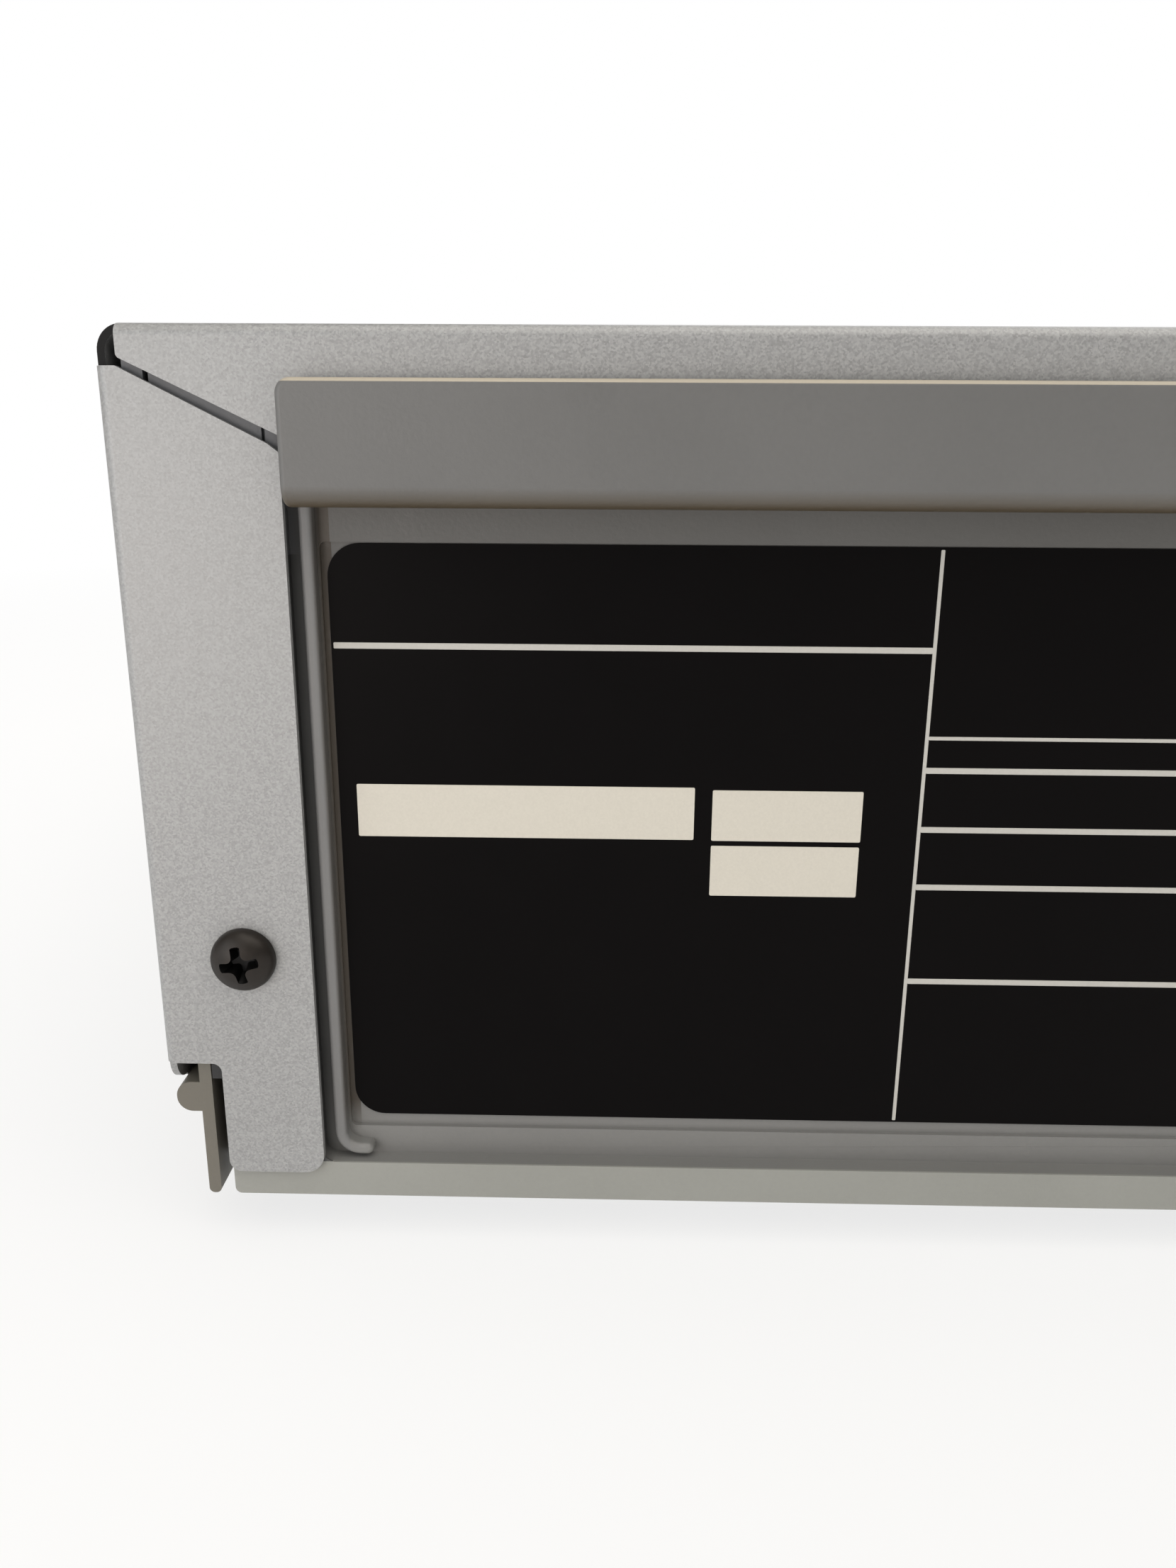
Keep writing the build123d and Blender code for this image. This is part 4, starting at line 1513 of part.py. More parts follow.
def jack_blocks():
    """The blocks behind the rear panel: two of six jacks, and one with a round and a square socket."""
    foot = BOARD_TOP - BASE
    crown = UPPER_JACKS + JACK_CROWN
    back = PANEL_IN + JACK_BLOCK_DEPTH
    blocks = []
    for group in (RCA_JACKS[:6], RCA_JACKS[6:]):
        left = group[0][0] - JACK_PITCH / 2
        body = rear_form(rect((left, left + 3 * JACK_PITCH), (foot, crown)), back, PANEL_IN)
        for u, w in group:
            body += rear_form(Pos(u, w) * Circle(RCA_RING_R), PANEL_IN, RECESS_T - JACK_RING_PROUD)
            body += rear_form(Pos(u, w) * Circle(RCA_R - COLLAR_WALL), RECESS_T, CORE_SHORT - RCA_REACH)
            body -= rear_form(Pos(u, w) * Circle(RCA_BORE_R), RECESS_T, -RCA_REACH)
        blocks.append(body)
    half = JACK_PITCH / 2
    pair = rear_form(rect((JACKS_LEFT - half, JACKS_LEFT + half), (foot, crown)), back, PANEL_IN)
    upper, lower = Pos(JACKS_LEFT, UPPER_JACKS), Pos(JACKS_LEFT, LOWER_JACKS)
    face = RECESS_T - PAIR_PROUD
    pair += rear_form(upper * Circle(RCA_RING_R), PANEL_IN, face)
    pair -= rear_form(upper * Circle(RCA_RING_R - PAIR_RIM), PANEL_IN, 0)
    pair += rear_form(upper * Circle(RCA_RING_R - 2 * PAIR_RIM), PANEL_IN, RECESS_T)
    side = 2 * (RCA_RING_R - FIT_GAP)
    hole = side - 2 * SQUARE_RIM
    pair += rear_form(lower * RectangleRounded(side, side, SQUARE_R), PANEL_IN, face)
    pair -= rear_form(lower * RectangleRounded(hole, hole, SQUARE_R * 0.8), RECESS_T, 0)
    return Compound(blocks + [pair])


def jack_collars():
    """The plated collar of each rear jack."""
    ring = Circle(RCA_R) - Circle(RCA_R - COLLAR_WALL + PIN_GAP)
    foot = RECESS_T - JACK_RING_PROUD
    return Compound([rear_form(Pos(u, w) * ring, foot, -RCA_REACH) for u, w in RCA_JACKS])


NODES = {
    "top_cover": top_cover,
    "main_frame": main_frame,
    "rear_panel": rear_panel,
    "rating_label": rating_label,
    "bottom_plate": bottom_plate,
    "feet": feet,
    "cover_screws": cover_screws,
    "cord_gland": cord_gland,
    "front_panel": front_panel,
    "cassette_door": cassette_door,
    "display_window": display_window,
    "display_tube": display_tube,
    "front_board": front_board,
    "front_jacks": front_jacks,
    "tray_front": tray_front,
    "disc_tray": disc_tray,
    "loader_frame": loader_frame,
    "tray_pinion": tray_pinion,
    "motor_pulley": motor_pulley,
    "tray_belt": tray_belt,
    "tray_motor": tray_motor,
    "clamp_bridge": clamp_bridge,
    "disc_clamp": disc_clamp,
    "traverse_plate": traverse_plate,
    "drive_motors": drive_motors,
    "turntable": turntable,
    "guide_rods": guide_rods,
    "pickup_sled": pickup_sled,
    "lead_screw": lead_screw,
    "deck_plate": deck_plate,
    "cassette_guides": cassette_guides,
    "cassette_holder": cassette_holder,
    "cassette_stops": cassette_stops,
    "lower_drum": lower_drum,
    "upper_drum": upper_drum,
    "capstan_motor": capstan_motor,
    "capstan": capstan,
    "pinch_arm": pinch_arm,
    "pinch_roller": pinch_roller,
    "supply_reel": lambda: reel(-1),
    "take_up_reel": lambda: reel(1),
    "supply_guide": lambda: tape_guide(-1),
    "take_up_guide": lambda: tape_guide(1),
    "main_board": main_board,
    "power_board": power_board,
    "inner_screws": inner_screws,
    "tuner": tuner,
    "jack_blocks": jack_blocks,
    "jack_collars": jack_collars,
}

os.makedirs("parts", exist_ok=True)
for node, make in NODES.items():
    export_step(make(), f"parts/{node}.step")
for node, place, width, height in button_places():
    export_step(button(place, width, height), f"parts/{node}.step")
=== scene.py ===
"""Looks of a slim video cassette and disc player, from its cover inwards, in metres."""
import bpy
import math
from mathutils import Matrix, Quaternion, Vector


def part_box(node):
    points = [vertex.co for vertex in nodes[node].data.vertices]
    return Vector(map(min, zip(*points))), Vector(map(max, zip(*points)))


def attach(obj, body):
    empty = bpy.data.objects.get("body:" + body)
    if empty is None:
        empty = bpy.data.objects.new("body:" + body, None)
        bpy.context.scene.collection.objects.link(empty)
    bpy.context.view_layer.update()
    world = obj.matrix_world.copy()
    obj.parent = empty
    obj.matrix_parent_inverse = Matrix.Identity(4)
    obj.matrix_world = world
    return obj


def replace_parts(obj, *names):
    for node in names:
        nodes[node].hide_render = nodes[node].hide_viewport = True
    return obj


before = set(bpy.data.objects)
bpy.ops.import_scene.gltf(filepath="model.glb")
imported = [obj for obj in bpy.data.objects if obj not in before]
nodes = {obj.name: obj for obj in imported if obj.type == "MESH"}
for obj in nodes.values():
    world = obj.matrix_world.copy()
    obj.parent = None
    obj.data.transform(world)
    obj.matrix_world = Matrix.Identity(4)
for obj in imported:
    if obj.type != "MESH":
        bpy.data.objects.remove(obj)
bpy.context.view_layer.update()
MM = 0.001


# Top cover: roof, sides and rear flanges folded from one steel sheet and sprayed with a silver paint
# that holds fine aluminium flake. The flake shows as a close sparkle, over a slight orange peel.
class Wire:
    """An output socket in a material; arithmetic on it adds the nodes for that arithmetic."""

    def __init__(self, tree, socket=None):
        self.tree = tree
        self.socket = socket

    def node(self, kind, inputs=None, output=0, **settings):
        """Adds a node: its settings first, then the values or links of its sockets."""
        made = self.tree.nodes.new("ShaderNode" + kind)
        for name, value in settings.items():
            setattr(made, name, value)
        for name, value in (inputs or {}).items():
            self.feed(made.inputs[name], value)
        return Wire(self.tree, made.outputs[output])

    def feed(self, socket, value):
        """Links a wire to a socket, or sets the socket's own value."""
        if isinstance(value, Wire):
            self.tree.links.new(value.socket, socket)
        else:
            socket.default_value = value

    def math(self, operation, first, second):
        """Adds a Math node on two wires or numbers."""
        return self.node("Math", {0: first, 1: second}, operation=operation)

    def __add__(self, other):
        return self.math("ADD", self, other)

    def __sub__(self, other):
        return self.math("SUBTRACT", self, other)

    def __rsub__(self, other):
        return self.math("SUBTRACT", other, self)

    def __mul__(self, other):
        return self.math("MULTIPLY", self, other)

    def __gt__(self, other):
        return self.math("GREATER_THAN", self, other)

    def __lt__(self, other):
        return self.math("LESS_THAN", self, other)

    def __abs__(self):
        return self.math("ABSOLUTE", self, 0)

    __radd__ = __add__
    __rmul__ = __mul__

    def between(self, low, high):
        """Mixes two colours, written or wired, by this wire's value."""
        low, high = (end if isinstance(end, Wire) else (*end, 1) for end in (low, high))
        return self.node("Mix", {0: self, 6: low, 7: high}, output=2, data_type="RGBA")

    def place(self):
        """Where a point of the piece lies while the player is at rest, in metres."""
        return self.node("TexCoord", output="Object")

    def along(self, axis):
        """How far a point of the piece lies along X, Y or Z, in metres."""
        return self.node("SeparateXYZ", {0: self.place()}, axis)

    def ramp(self, start, end):
        """0 up to a start, 1 from an end on, and evenly rising between them."""
        return self.node("MapRange", {"Value": self, "From Min": start, "From Max": end})

    def noise(self, size, detail=2.0, stretch=(1, 1, 1)):
        """Cloudy noise whose features are about a size in metres, stretched along the axes."""
        scale = tuple(1 / (size * s) for s in stretch)
        scaled = self.node("Mapping", {"Vector": self.place(), "Scale": scale})
        return self.node("TexNoise", {"Vector": scaled, "Scale": 1.0, "Detail": detail})

    def cells(self, size):
        """A random value from 0 to 1 for each cell, about a size across."""
        colour = self.node("TexVoronoi", {"Vector": self.place(), "Scale": 1 / size}, output="Color")
        return self.node("SeparateColor", {0: colour})

    def bump(self, height, depth, under=None):
        """A normal from a height of 0 to 1 that stands for a depth in metres."""
        inputs = {"Height": height, "Distance": depth, "Strength": 1.0}
        if under:
            inputs["Normal"] = under
        return self.node("Bump", inputs)


def finish(name, constants):
    """A new material, its wire, and a function that feeds its shader's sockets."""
    material = bpy.data.materials.new(name)
    material.use_nodes = True
    shader = material.node_tree.nodes["Principled BSDF"]
    wire = Wire(material.node_tree)
    for socket, value in constants.items():
        shader.inputs[socket].default_value = value

    def set_sockets(**wires):
        for socket, value in wires.items():
            wire.feed(shader.inputs[socket.replace("_", " ")], value)
    return material, wire, set_sockets


FLAKE_SIZE, CLUSTER_SIZE = 0.15 * MM, 0.2 * MM
PEEL_SIZE, PAINT_DEPTH = 1.3 * MM, 0.012 * MM


def flake_paint(name, dark, light, rough):
    """Silver paint: flakes of many greys, in loose clusters, over a slight orange peel."""
    lacquer = {"Metallic": 0.3, "Coat Weight": 0.1, "Coat Roughness": 0.35}
    material, wire, set_sockets = finish(name, lacquer)
    flake = wire.cells(FLAKE_SIZE)
    cluster = wire.noise(CLUSTER_SIZE, 3.0)
    shade = flake * 0.5 + cluster * 0.5
    peel = wire.bump(wire.noise(PEEL_SIZE, 1.0), PAINT_DEPTH)
    set_sockets(Base_Color=shade.between(dark, light), Roughness=flake * 0.16 + (rough - 0.08),
                Normal=wire.bump(cluster, PAINT_DEPTH, peel))
    return material


def dress(material, *names):
    """Gives CAD nodes their finish."""
    for name in names:
        for slot in nodes[name].material_slots:
            slot.material = material


def dress_faces(material, name, chosen):
    """Gives the faces of one CAD node whose middles and normals are chosen a second finish."""
    mesh = nodes[name].data
    mesh.materials.append(material)
    for face in mesh.polygons:
        if chosen(face.center, face.normal):
            face.material_index = len(mesh.materials) - 1


TEAR_SIZE, TEAR_DEPTH = 0.2 * MM, 0.01 * MM


def cut_steel_painted_shade():
    """The bare sheet's sheared edge, dull, and painted near black as painted shade in the notch."""
    material, wire, set_sockets = finish("cut_steel_painted_shade", {"Metallic": 0.6})
    tear = wire.noise(TEAR_SIZE, 3.0)
    set_sockets(Base_Color=tear.between((0.004, 0.004, 0.004), (0.01, 0.01, 0.01)),
                Roughness=tear * 0.2 + 0.5, Normal=wire.bump(tear, TEAR_DEPTH))
    return material


cover_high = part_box("top_cover")[1]
CUT_SET_BACK, CUT_REACH, CUT_SLACK = 1.0 * MM, 4 * MM, 0.2 * MM


def on_cut_edge(middle, normal):
    """The sheared ends of the sheet in the notches at the upper rear corners."""
    set_back = cover_high.y - middle.y
    at_corner = middle.z > cover_high.z - CUT_REACH
    return normal.y > 0.9 and at_corner and abs(set_back - CUT_SET_BACK) < CUT_SLACK


cover_paint = flake_paint("silver_paint", (0.225, 0.228, 0.23), (0.44, 0.444, 0.448), 0.5)
dress(cover_paint, "top_cover")
# The sheared ends in the corner notches are painted near black, as painted shade.
dress_faces(cut_steel_painted_shade(), "top_cover", on_cut_edge)


# Rear panel: one grey moulding with a visor, a recess, a rib and openings for the sockets.
# Its mould was spark-eroded, so it has a fine even grain, a little polished where hands touch it.
# Lip, rib crest and visor edge are painted paler, as painted light. What the flanges and visor shade is
# painted darker.
CLOUD_SIZE, RUB_SIZE, RUB_LIMIT = 14 * MM, 5 * MM, 0.62


def toned(colour, share):
    """A colour made darker or lighter by a share."""
    return tuple(min(1, c * share) for c in colour)


def moulded(name, colour, rough, grain=0.35 * MM, depth=0.02 * MM, worn=0.08, accents=()):
    """Moulded plastic: a spark-eroded grain, faint clouds of shade and some rubbed, smoother places.

    Each accent is a further colour and a test that comes to 1, on the material's wire, where it shows."""
    material, wire, set_sockets = finish(name, {"Specular IOR Level": 0.45})
    eroded = wire.noise(grain, 3.0)
    clouds = wire.noise(CLOUD_SIZE, 3.0)
    rubbed = wire.noise(RUB_SIZE, 4.0) > RUB_LIMIT
    shade = clouds * 0.7 + eroded * 0.3

    def clouded(tone):
        return shade.between(toned(tone, 0.86), toned(tone, 1.12))

    base = clouded(colour)
    for tone, test in accents:
        base = test(wire).between(base, clouded(tone))
    set_sockets(Base_Color=base, Roughness=eroded * 0.12 + (rough - 0.06) - rubbed * worn,
                Normal=wire.bump(eroded, depth))
    return material


panel_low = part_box("rear_panel")[0]
LIP_HEIGHT, LIP_SET_BACK = 3.45 * MM, 0.9 * MM
RECESS_HEAD, RECESS_FOOT = (60.0 * MM, 63.0 * MM), (16.0 * MM, 10.5 * MM)
RIB_SIDES, RIB_ENDS, RIB_SET_BACK = (199.4 * MM, 200.9 * MM), (8.2 * MM, 68.0 * MM), 2.2 * MM
FLANK_SHADE, FLANK_INNER, FLANK_FOOT = (199.9 * MM, 199.4 * MM), 198.6 * MM, (10.2 * MM, 13.0 * MM)
VISOR_TOP, VISOR_EDGE, VISOR_FOOT = 75.1 * MM, 0.28 * MM, (67.4 * MM, 65.9 * MM)
FLANGE_SHADE, FLANGE_SET_BACK = (200.8 * MM, 202.1 * MM), 0.5 * MM
MITRE_FOOT = 62.0 * MM


def aside(wire):
    """How far a point lies from the player's middle, to either side."""
    return abs(wire.along("X"))


def lip_painted_light(wire):
    """The face of the lip along the panel's foot, painted paler as painted light."""
    return (wire.along("Z") < panel_low.z + LIP_HEIGHT) * (wire.along("Y") > cover_high.y - LIP_SET_BACK)


def in_recess_head(wire):
    """The head of the recess, in the visor's shade."""
    return wire.along("Z").ramp(*RECESS_HEAD) * (wire.along("Y") < cover_high.y - LIP_SET_BACK)


def in_recess_foot(wire):
    """The foot of the recess, which the lip lights."""
    return wire.along("Z").ramp(*RECESS_FOOT) * (wire.along("Y") < cover_high.y - LIP_SET_BACK)


def rib_crest_painted_highlight(wire):
    """The crest of the rib down each end of the recess, painted paler as a painted highlight."""
    crest = (aside(wire) > RIB_SIDES[0]) * (aside(wire) < RIB_SIDES[1])
    crest *= (wire.along("Y") > cover_high.y - RIB_SET_BACK) * (wire.along("Y") < cover_high.y)
    return crest * (wire.along("Z") > RIB_ENDS[0]) * (wire.along("Z") < RIB_ENDS[1])


def beside_rib(wire):
    """The rib's inner flank, which lies in its own warm shade."""
    flank = aside(wire).ramp(*FLANK_SHADE) * (aside(wire) > FLANK_INNER)
    return flank * wire.along("Z").ramp(*FLANK_FOOT) * (wire.along("Y") < cover_high.y)


def visor_foot_painted_shade(wire):
    """The soft lower edge of the visor, which faces the table, painted warm brown as painted shade and a
    painted reflection of the table.
    """
    return wire.along("Z").ramp(*VISOR_FOOT) * (wire.along("Y") > cover_high.y)


def visor_edge_painted_highlight(wire):
    """The upper edge of the visor, painted a warm pale tone as a painted highlight."""
    return (wire.along("Z") > VISOR_TOP - VISOR_EDGE) * (wire.along("Y") > cover_high.y)


def under_flange(wire):
    """What lies in the shade under the cover's side flanges."""
    return aside(wire).ramp(*FLANGE_SHADE) * (wire.along("Y") < cover_high.y - FLANGE_SET_BACK)


def painted_shade_behind_mitre(wire):
    """What lies behind the slot between the cover's flanges, painted a dim bluish grey as painted shade.
    """
    return under_flange(wire) * (wire.along("Z") > MITRE_FOOT)


# A dim bluish grey painted as shade behind the slot between the flanges.
MITRE_PAINTED_SHADE = (0.118, 0.121, 0.129)
# Every accent below is painted light or painted shade, standing in for how the lamps fall on the panel.
PANEL_ACCENTS = (
    ((0.108, 0.106, 0.102), in_recess_head),
    ((0.2, 0.2, 0.196), in_recess_foot),
    ((0.02, 0.02, 0.021), under_flange),
    (MITRE_PAINTED_SHADE, painted_shade_behind_mitre),
    ((0.30, 0.305, 0.285), lip_painted_light),
    ((0.185, 0.186, 0.188), rib_crest_painted_highlight),
    ((0.062, 0.05, 0.038), beside_rib),
    ((0.085, 0.066, 0.042), visor_foot_painted_shade),
    ((0.42, 0.375, 0.3), visor_edge_painted_highlight))
panel_grey = moulded("panel_grey", (0.135, 0.135, 0.134), 0.46, accents=PANEL_ACCENTS)
dress(panel_grey, "rear_panel")


# Main frame: a warmer grey moulding whose bead and leg show under the cover's edge.
# The cover's sides rest on the bead, and its posts carry the decks and boards.
# Behind the slot between the cover's flanges the frame is painted a cooler, darker grey as painted shade.
frame_grey = moulded("frame_grey", (0.15, 0.14, 0.118), 0.5, accents=((MITRE_PAINTED_SHADE, painted_shade_behind_mitre),))
dress(frame_grey, "main_frame")


# Rating plate: a thin black plate glued into the panel's pocket, with its field lines and
# write-in boxes screen printed in off-white. The rest of it is left plain.
RIPPLE_SIZE, RIPPLE_DEPTH = 6 * MM, 0.006 * MM
WEAVE_SIZE, WEAVE_DEPTH, INK_THICK = 0.18 * MM, 0.006 * MM, 0.03 * MM


def plate_black():
    """Satin black film with a faint long-wave ripple."""
    material, wire, set_sockets = finish("plate_black", {"Specular IOR Level": 0.05})
    ripple = wire.noise(RIPPLE_SIZE, 2.0)
    set_sockets(Base_Color=ripple.between((0.0026, 0.0021, 0.0022), (0.0034, 0.0028, 0.0029)),
                Roughness=ripple * 0.12 + 0.3, Normal=wire.bump(ripple, RIPPLE_DEPTH))
    return material


def shaped(name, points, faces):
    """A new piece from points and faces."""
    mesh = bpy.data.meshes.new(name)
    mesh.from_pydata(points, [], faces)
    mesh.validate()
    mesh.update()
    piece = bpy.data.objects.new(name, mesh)
    bpy.context.collection.objects.link(piece)
    return piece


def raised(name, outlines, lift, place):
    """Thin printed or stamped shapes: closed outlines of points, raised from a face by a height."""
    points, faces = [], []
    for outline in outlines:
        start, count = len(points), len(outline)
        points += [place(a, b, 0) for a, b in outline] + [place(a, b, lift) for a, b in outline]
        faces.append([start + count + i for i in range(count)])
        faces.append([start + i for i in reversed(range(count))])
        for i in range(count):
            j = (i + 1) % count
            faces.append([start + i, start + j, start + count + j, start + count + i])
    return shaped(name, points, faces)


def rounded(left, right, foot, top, radius, steps=4):
    """The outline of a rectangle with round corners."""
    corners = [(right - radius, top - radius, 0), (left + radius, top - radius, 90),
               (left + radius, foot + radius, 180), (right - radius, foot + radius, 270)]
    outline = []
    for x, y, start in corners:
        for step in range(steps + 1):
            angle = math.radians(start + 90 * step / steps)
            outline.append((x + radius * math.cos(angle), y + radius * math.sin(angle)))
    return outline


def print_ink(name, colour):
    """Screen-printed ink: a soft, slightly broken film."""
    material, wire, set_sockets = finish(name, {})
    weave = wire.noise(WEAVE_SIZE, 2.0)
    set_sockets(Base_Color=weave.between(toned(colour, 0.88), colour), Roughness=weave * 0.15 + 0.45,
                Normal=wire.bump(weave, WEAVE_DEPTH))
    return material


def printed(name, outlines, place, material, body):
    """A thin printed piece that moves with a body."""
    piece = raised(name, outlines, INK_THICK, place)
    piece.data.materials.append(material)
    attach(piece, body)


dress(plate_black(), "rating_label")
plate_low, plate_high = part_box("rating_label")
plate_width = plate_high.x - plate_low.x
plate_height = plate_high.z - plate_low.z
DIVIDER = 48.8 * MM
FINE_RULE, RULE = 0.3 * MM, 0.5 * MM
RULE_END, RULE_CORNER = 0.2 * MM, 0.05 * MM
LEFT_RULE = 43.0 * MM
RIGHT_FINE_RULE = 35.75 * MM
RIGHT_RULES = (33.0 * MM, 27.85 * MM, 22.7 * MM, 13.95 * MM)
WRITE_IN_BOXES = ((1.5 * MM, 29.9 * MM, 26.7 * MM, 31.3 * MM),
                  (31.4 * MM, 43.95 * MM, 26.65 * MM, 31.1 * MM),
                  (31.4 * MM, 43.9 * MM, 21.7 * MM, 26.2 * MM))
BOX_CORNER = 0.12 * MM


def on_plate(across, up, lift):
    """A place on the rating plate, from its left foot as it is read."""
    return (plate_high.x - across, plate_high.y + lift, plate_low.z + up)


def level_rule(left, right, height, thick=RULE):
    """A rule across a part of the plate, at a height."""
    return rounded(left, right, height - thick / 2, height + thick / 2, RULE_CORNER, 1)


divider_left, divider_right = DIVIDER - FINE_RULE / 2, DIVIDER + FINE_RULE / 2
rule_right = plate_width - RULE_END
rules = [rounded(divider_left, divider_right, RULE_END, plate_height - RULE_END, RULE_CORNER, 1),
         level_rule(RULE_END, divider_left, LEFT_RULE),
         level_rule(divider_right, rule_right, RIGHT_FINE_RULE, FINE_RULE)]
rules += [level_rule(divider_right, rule_right, height) for height in RIGHT_RULES]
printed("plate_rules", rules, on_plate, print_ink("rule_ink", (0.52, 0.51, 0.48)), "casing")
boxes = [rounded(*sides, BOX_CORNER, 3) for sides in WRITE_IN_BOXES]
printed("plate_boxes", boxes, on_plate, print_ink("box_ink", (0.64, 0.61, 0.54)), "casing")


# Cover screws: pan-head screws with a deep cross recess, in a brown-black oxide finish.
# Two hold the rear flanges to the panel and one each side holds the cover to the frame.
SCUFF_SIZE, PIT_SIZE, PIT_DEPTH = 0.9 * MM, 0.25 * MM, 0.008 * MM


def oxide(name, dark, light):
    """Blackened steel, browner and brighter where the driver has rubbed it."""
    material, wire, set_sockets = finish(name, {"Metallic": 0.4})
    scuff = wire.noise(SCUFF_SIZE, 4.0)
    set_sockets(Base_Color=scuff.between(dark, light), Roughness=scuff * 0.2 + 0.34,
                Normal=wire.bump(wire.noise(PIT_SIZE, 2.0), PIT_DEPTH))
    return material


HEAD_R, HEAD_HEIGHT, HEAD_RIM = 2.75 * MM, 1.9 * MM, 0.5 * MM
DOME_POWER, DOME_RINGS = 0.55, (0.3, 0.6, 0.8, 0.93, 1)
SHANK_R, SHANK_LENGTH = 1.4 * MM, 6.3 * MM
TIP_R, TIP_START = SHANK_R * 0.3, SHANK_LENGTH * 0.85
ARM_LENGTH, ARM_HALF, ARM_CORNER = 1.68 * MM, 0.42 * MM, 0.5 * MM
ARM_END = ((ARM_LENGTH * 0.985, ARM_HALF * 0.65), (ARM_LENGTH * 0.93, ARM_HALF))
ARM_CORNER_STEPS = 4
RECESS_DEPTH, RECESS_DRAFT = 1.55 * MM, 0.6
SHARP_ANGLE = math.radians(40)


def cross_outline():
    """The outline of a cross with rounded inner corners."""
    inner = ARM_HALF + ARM_CORNER
    quarter = [(ARM_LENGTH, 0), *ARM_END]
    for step in range(ARM_CORNER_STEPS + 1):
        angle = math.radians(270 - 90 * step / ARM_CORNER_STEPS)
        quarter.append((inner + ARM_CORNER * math.cos(angle), inner + ARM_CORNER * math.sin(angle)))
    quarter += [(half, length) for length, half in reversed(ARM_END)]
    outline = []
    for _ in range(4):
        outline += quarter
        quarter = [(-b, a) for a, b in quarter]
    return outline


def cross_screw(points, faces, seat, out, turn):
    """Adds one screw: recess, domed head and shank, seated at a point; returns its recess's faces."""
    outline = cross_outline()
    count = len(outline)
    circle = [(math.cos(2 * math.pi * i / count), math.sin(2 * math.pi * i / count)) for i in range(count)]

    def dome(a, b):
        return HEAD_RIM + (HEAD_HEIGHT - HEAD_RIM) * (1 - (a * a + b * b) / HEAD_R ** 2) ** DOME_POWER

    floor = HEAD_HEIGHT - RECESS_DEPTH
    rings = [[(a * RECESS_DRAFT, b * RECESS_DRAFT, floor) for a, b in outline],
             [(a, b, dome(a, b)) for a, b in outline]]
    for share in DOME_RINGS:
        ring = [(a + (c * HEAD_R - a) * share, b + (d * HEAD_R - b) * share)
                for (a, b), (c, d) in zip(outline, circle)]
        rings.append([(a, b, dome(a, b) if share < 1 else HEAD_RIM) for a, b in ring])
    for radius, height in ((HEAD_R, 0), (SHANK_R, 0), (SHANK_R, -TIP_START), (TIP_R, -SHANK_LENGTH)):
        rings.append([(c * radius, d * radius, height) for c, d in circle])
    stand = out.to_track_quat("Z", "Y") @ Quaternion((0, 0, 1), math.radians(turn))
    start = len(points)
    points.extend(seat + stand @ Vector(point) for ring in rings for point in ring)
    first = len(faces)
    faces.append([start + i for i in range(count)])
    for ring in range(len(rings) - 1):
        low = start + ring * count
        faces.extend([low + i, low + count + i, low + count + (i + 1) % count, low + (i + 1) % count]
                     for i in range(count))
    faces.append([start + (len(rings) - 1) * count + i for i in reversed(range(count))])
    return range(first, first + count + 1)


def screw_set(name, places, body):
    """A piece of several screws: the seat, the way out and the turn of each."""
    points, faces, sunk = [], [], []
    for seat, out, turn in places:
        sunk += cross_screw(points, faces, Vector(seat), Vector(out), turn)
    piece = shaped(name, points, faces)
    piece.data.materials.append(dark_oxide)
    piece.data.materials.append(recess_oxide_in_painted_shade)
    for face in sunk:
        piece.data.polygons[face].material_index = 1
    piece.data.shade_smooth()
    piece.data.set_sharp_from_angle(angle=SHARP_ANGLE)
    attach(piece, body)
    return piece


dark_oxide = oxide("dark_oxide", (0.009, 0.0066, 0.005), (0.025, 0.019, 0.0145))
# The cross recesses get the same blackened steel, painted almost black as painted shade in the deep cross.
recess_oxide_in_painted_shade = oxide("recess_oxide_in_painted_shade", (0.0008, 0.0008, 0.0008), (0.002, 0.002, 0.002))
dress(dark_oxide, "cover_screws", "inner_screws")
REAR_SCREW_X, REAR_SCREW_Z, REAR_SCREW_TURNS = 207.25 * MM, 28.2 * MM, {1: 10, -1: 40}
SIDE_SCREW_Y, SIDE_SCREW_Z, SIDE_SCREW_TURN = -8.0 * MM, 20.1 * MM, 35
screw_places = [((side * REAR_SCREW_X, cover_high.y, REAR_SCREW_Z), (0, 1, 0), turn)
                for side, turn in REAR_SCREW_TURNS.items()]
screw_places += [((side * cover_high.x, SIDE_SCREW_Y, SIDE_SCREW_Z), (side, 0, 0), SIDE_SCREW_TURN)
                 for side in (1, -1)]
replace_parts(screw_set("cover_screw_heads", screw_places, "casing"), "cover_screws")


# Rolled edge: the foot of each cover side is rolled over, so that it closes on the frame's bead.
# It is the cover's own sheet, under the same paint.
ROLL_OUT, ROLL_IN = 0.05 * MM, 0.55 * MM
ROLL_FOOT, ROLL_TOP = 14.99 * MM, 15.7 * MM
ROLL_FRONT, ROLL_REAR = -109.0 * MM, 118.7 * MM
ROLL_R = 0.2 * MM
for side, name in ((1, "rolled_edge_left"), (-1, "rolled_edge_right")):
    ends = sorted((side * ROLL_FRONT, side * ROLL_REAR))
    outline = rounded(*ends, ROLL_FOOT, ROLL_TOP, ROLL_R)
    edge = raised(name, [outline], ROLL_IN - ROLL_OUT, lambda along, up, lift: (
        side * (cover_high.x - ROLL_IN + lift), side * along, up))
    edge.data.materials.append(cover_paint)
    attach(edge, "casing")


# Bottom plate and inner sheet work: zinc-plated steel sheet, blanked and folded.
# The zinc shows as soft spangles with fine rolling marks along the sheet.
SPANGLE_SIZE, LINE_SIZE, LINE_DEPTH = 7 * MM, 0.8 * MM, 0.01 * MM
ROLLED = (0.25, 6, 0.25)


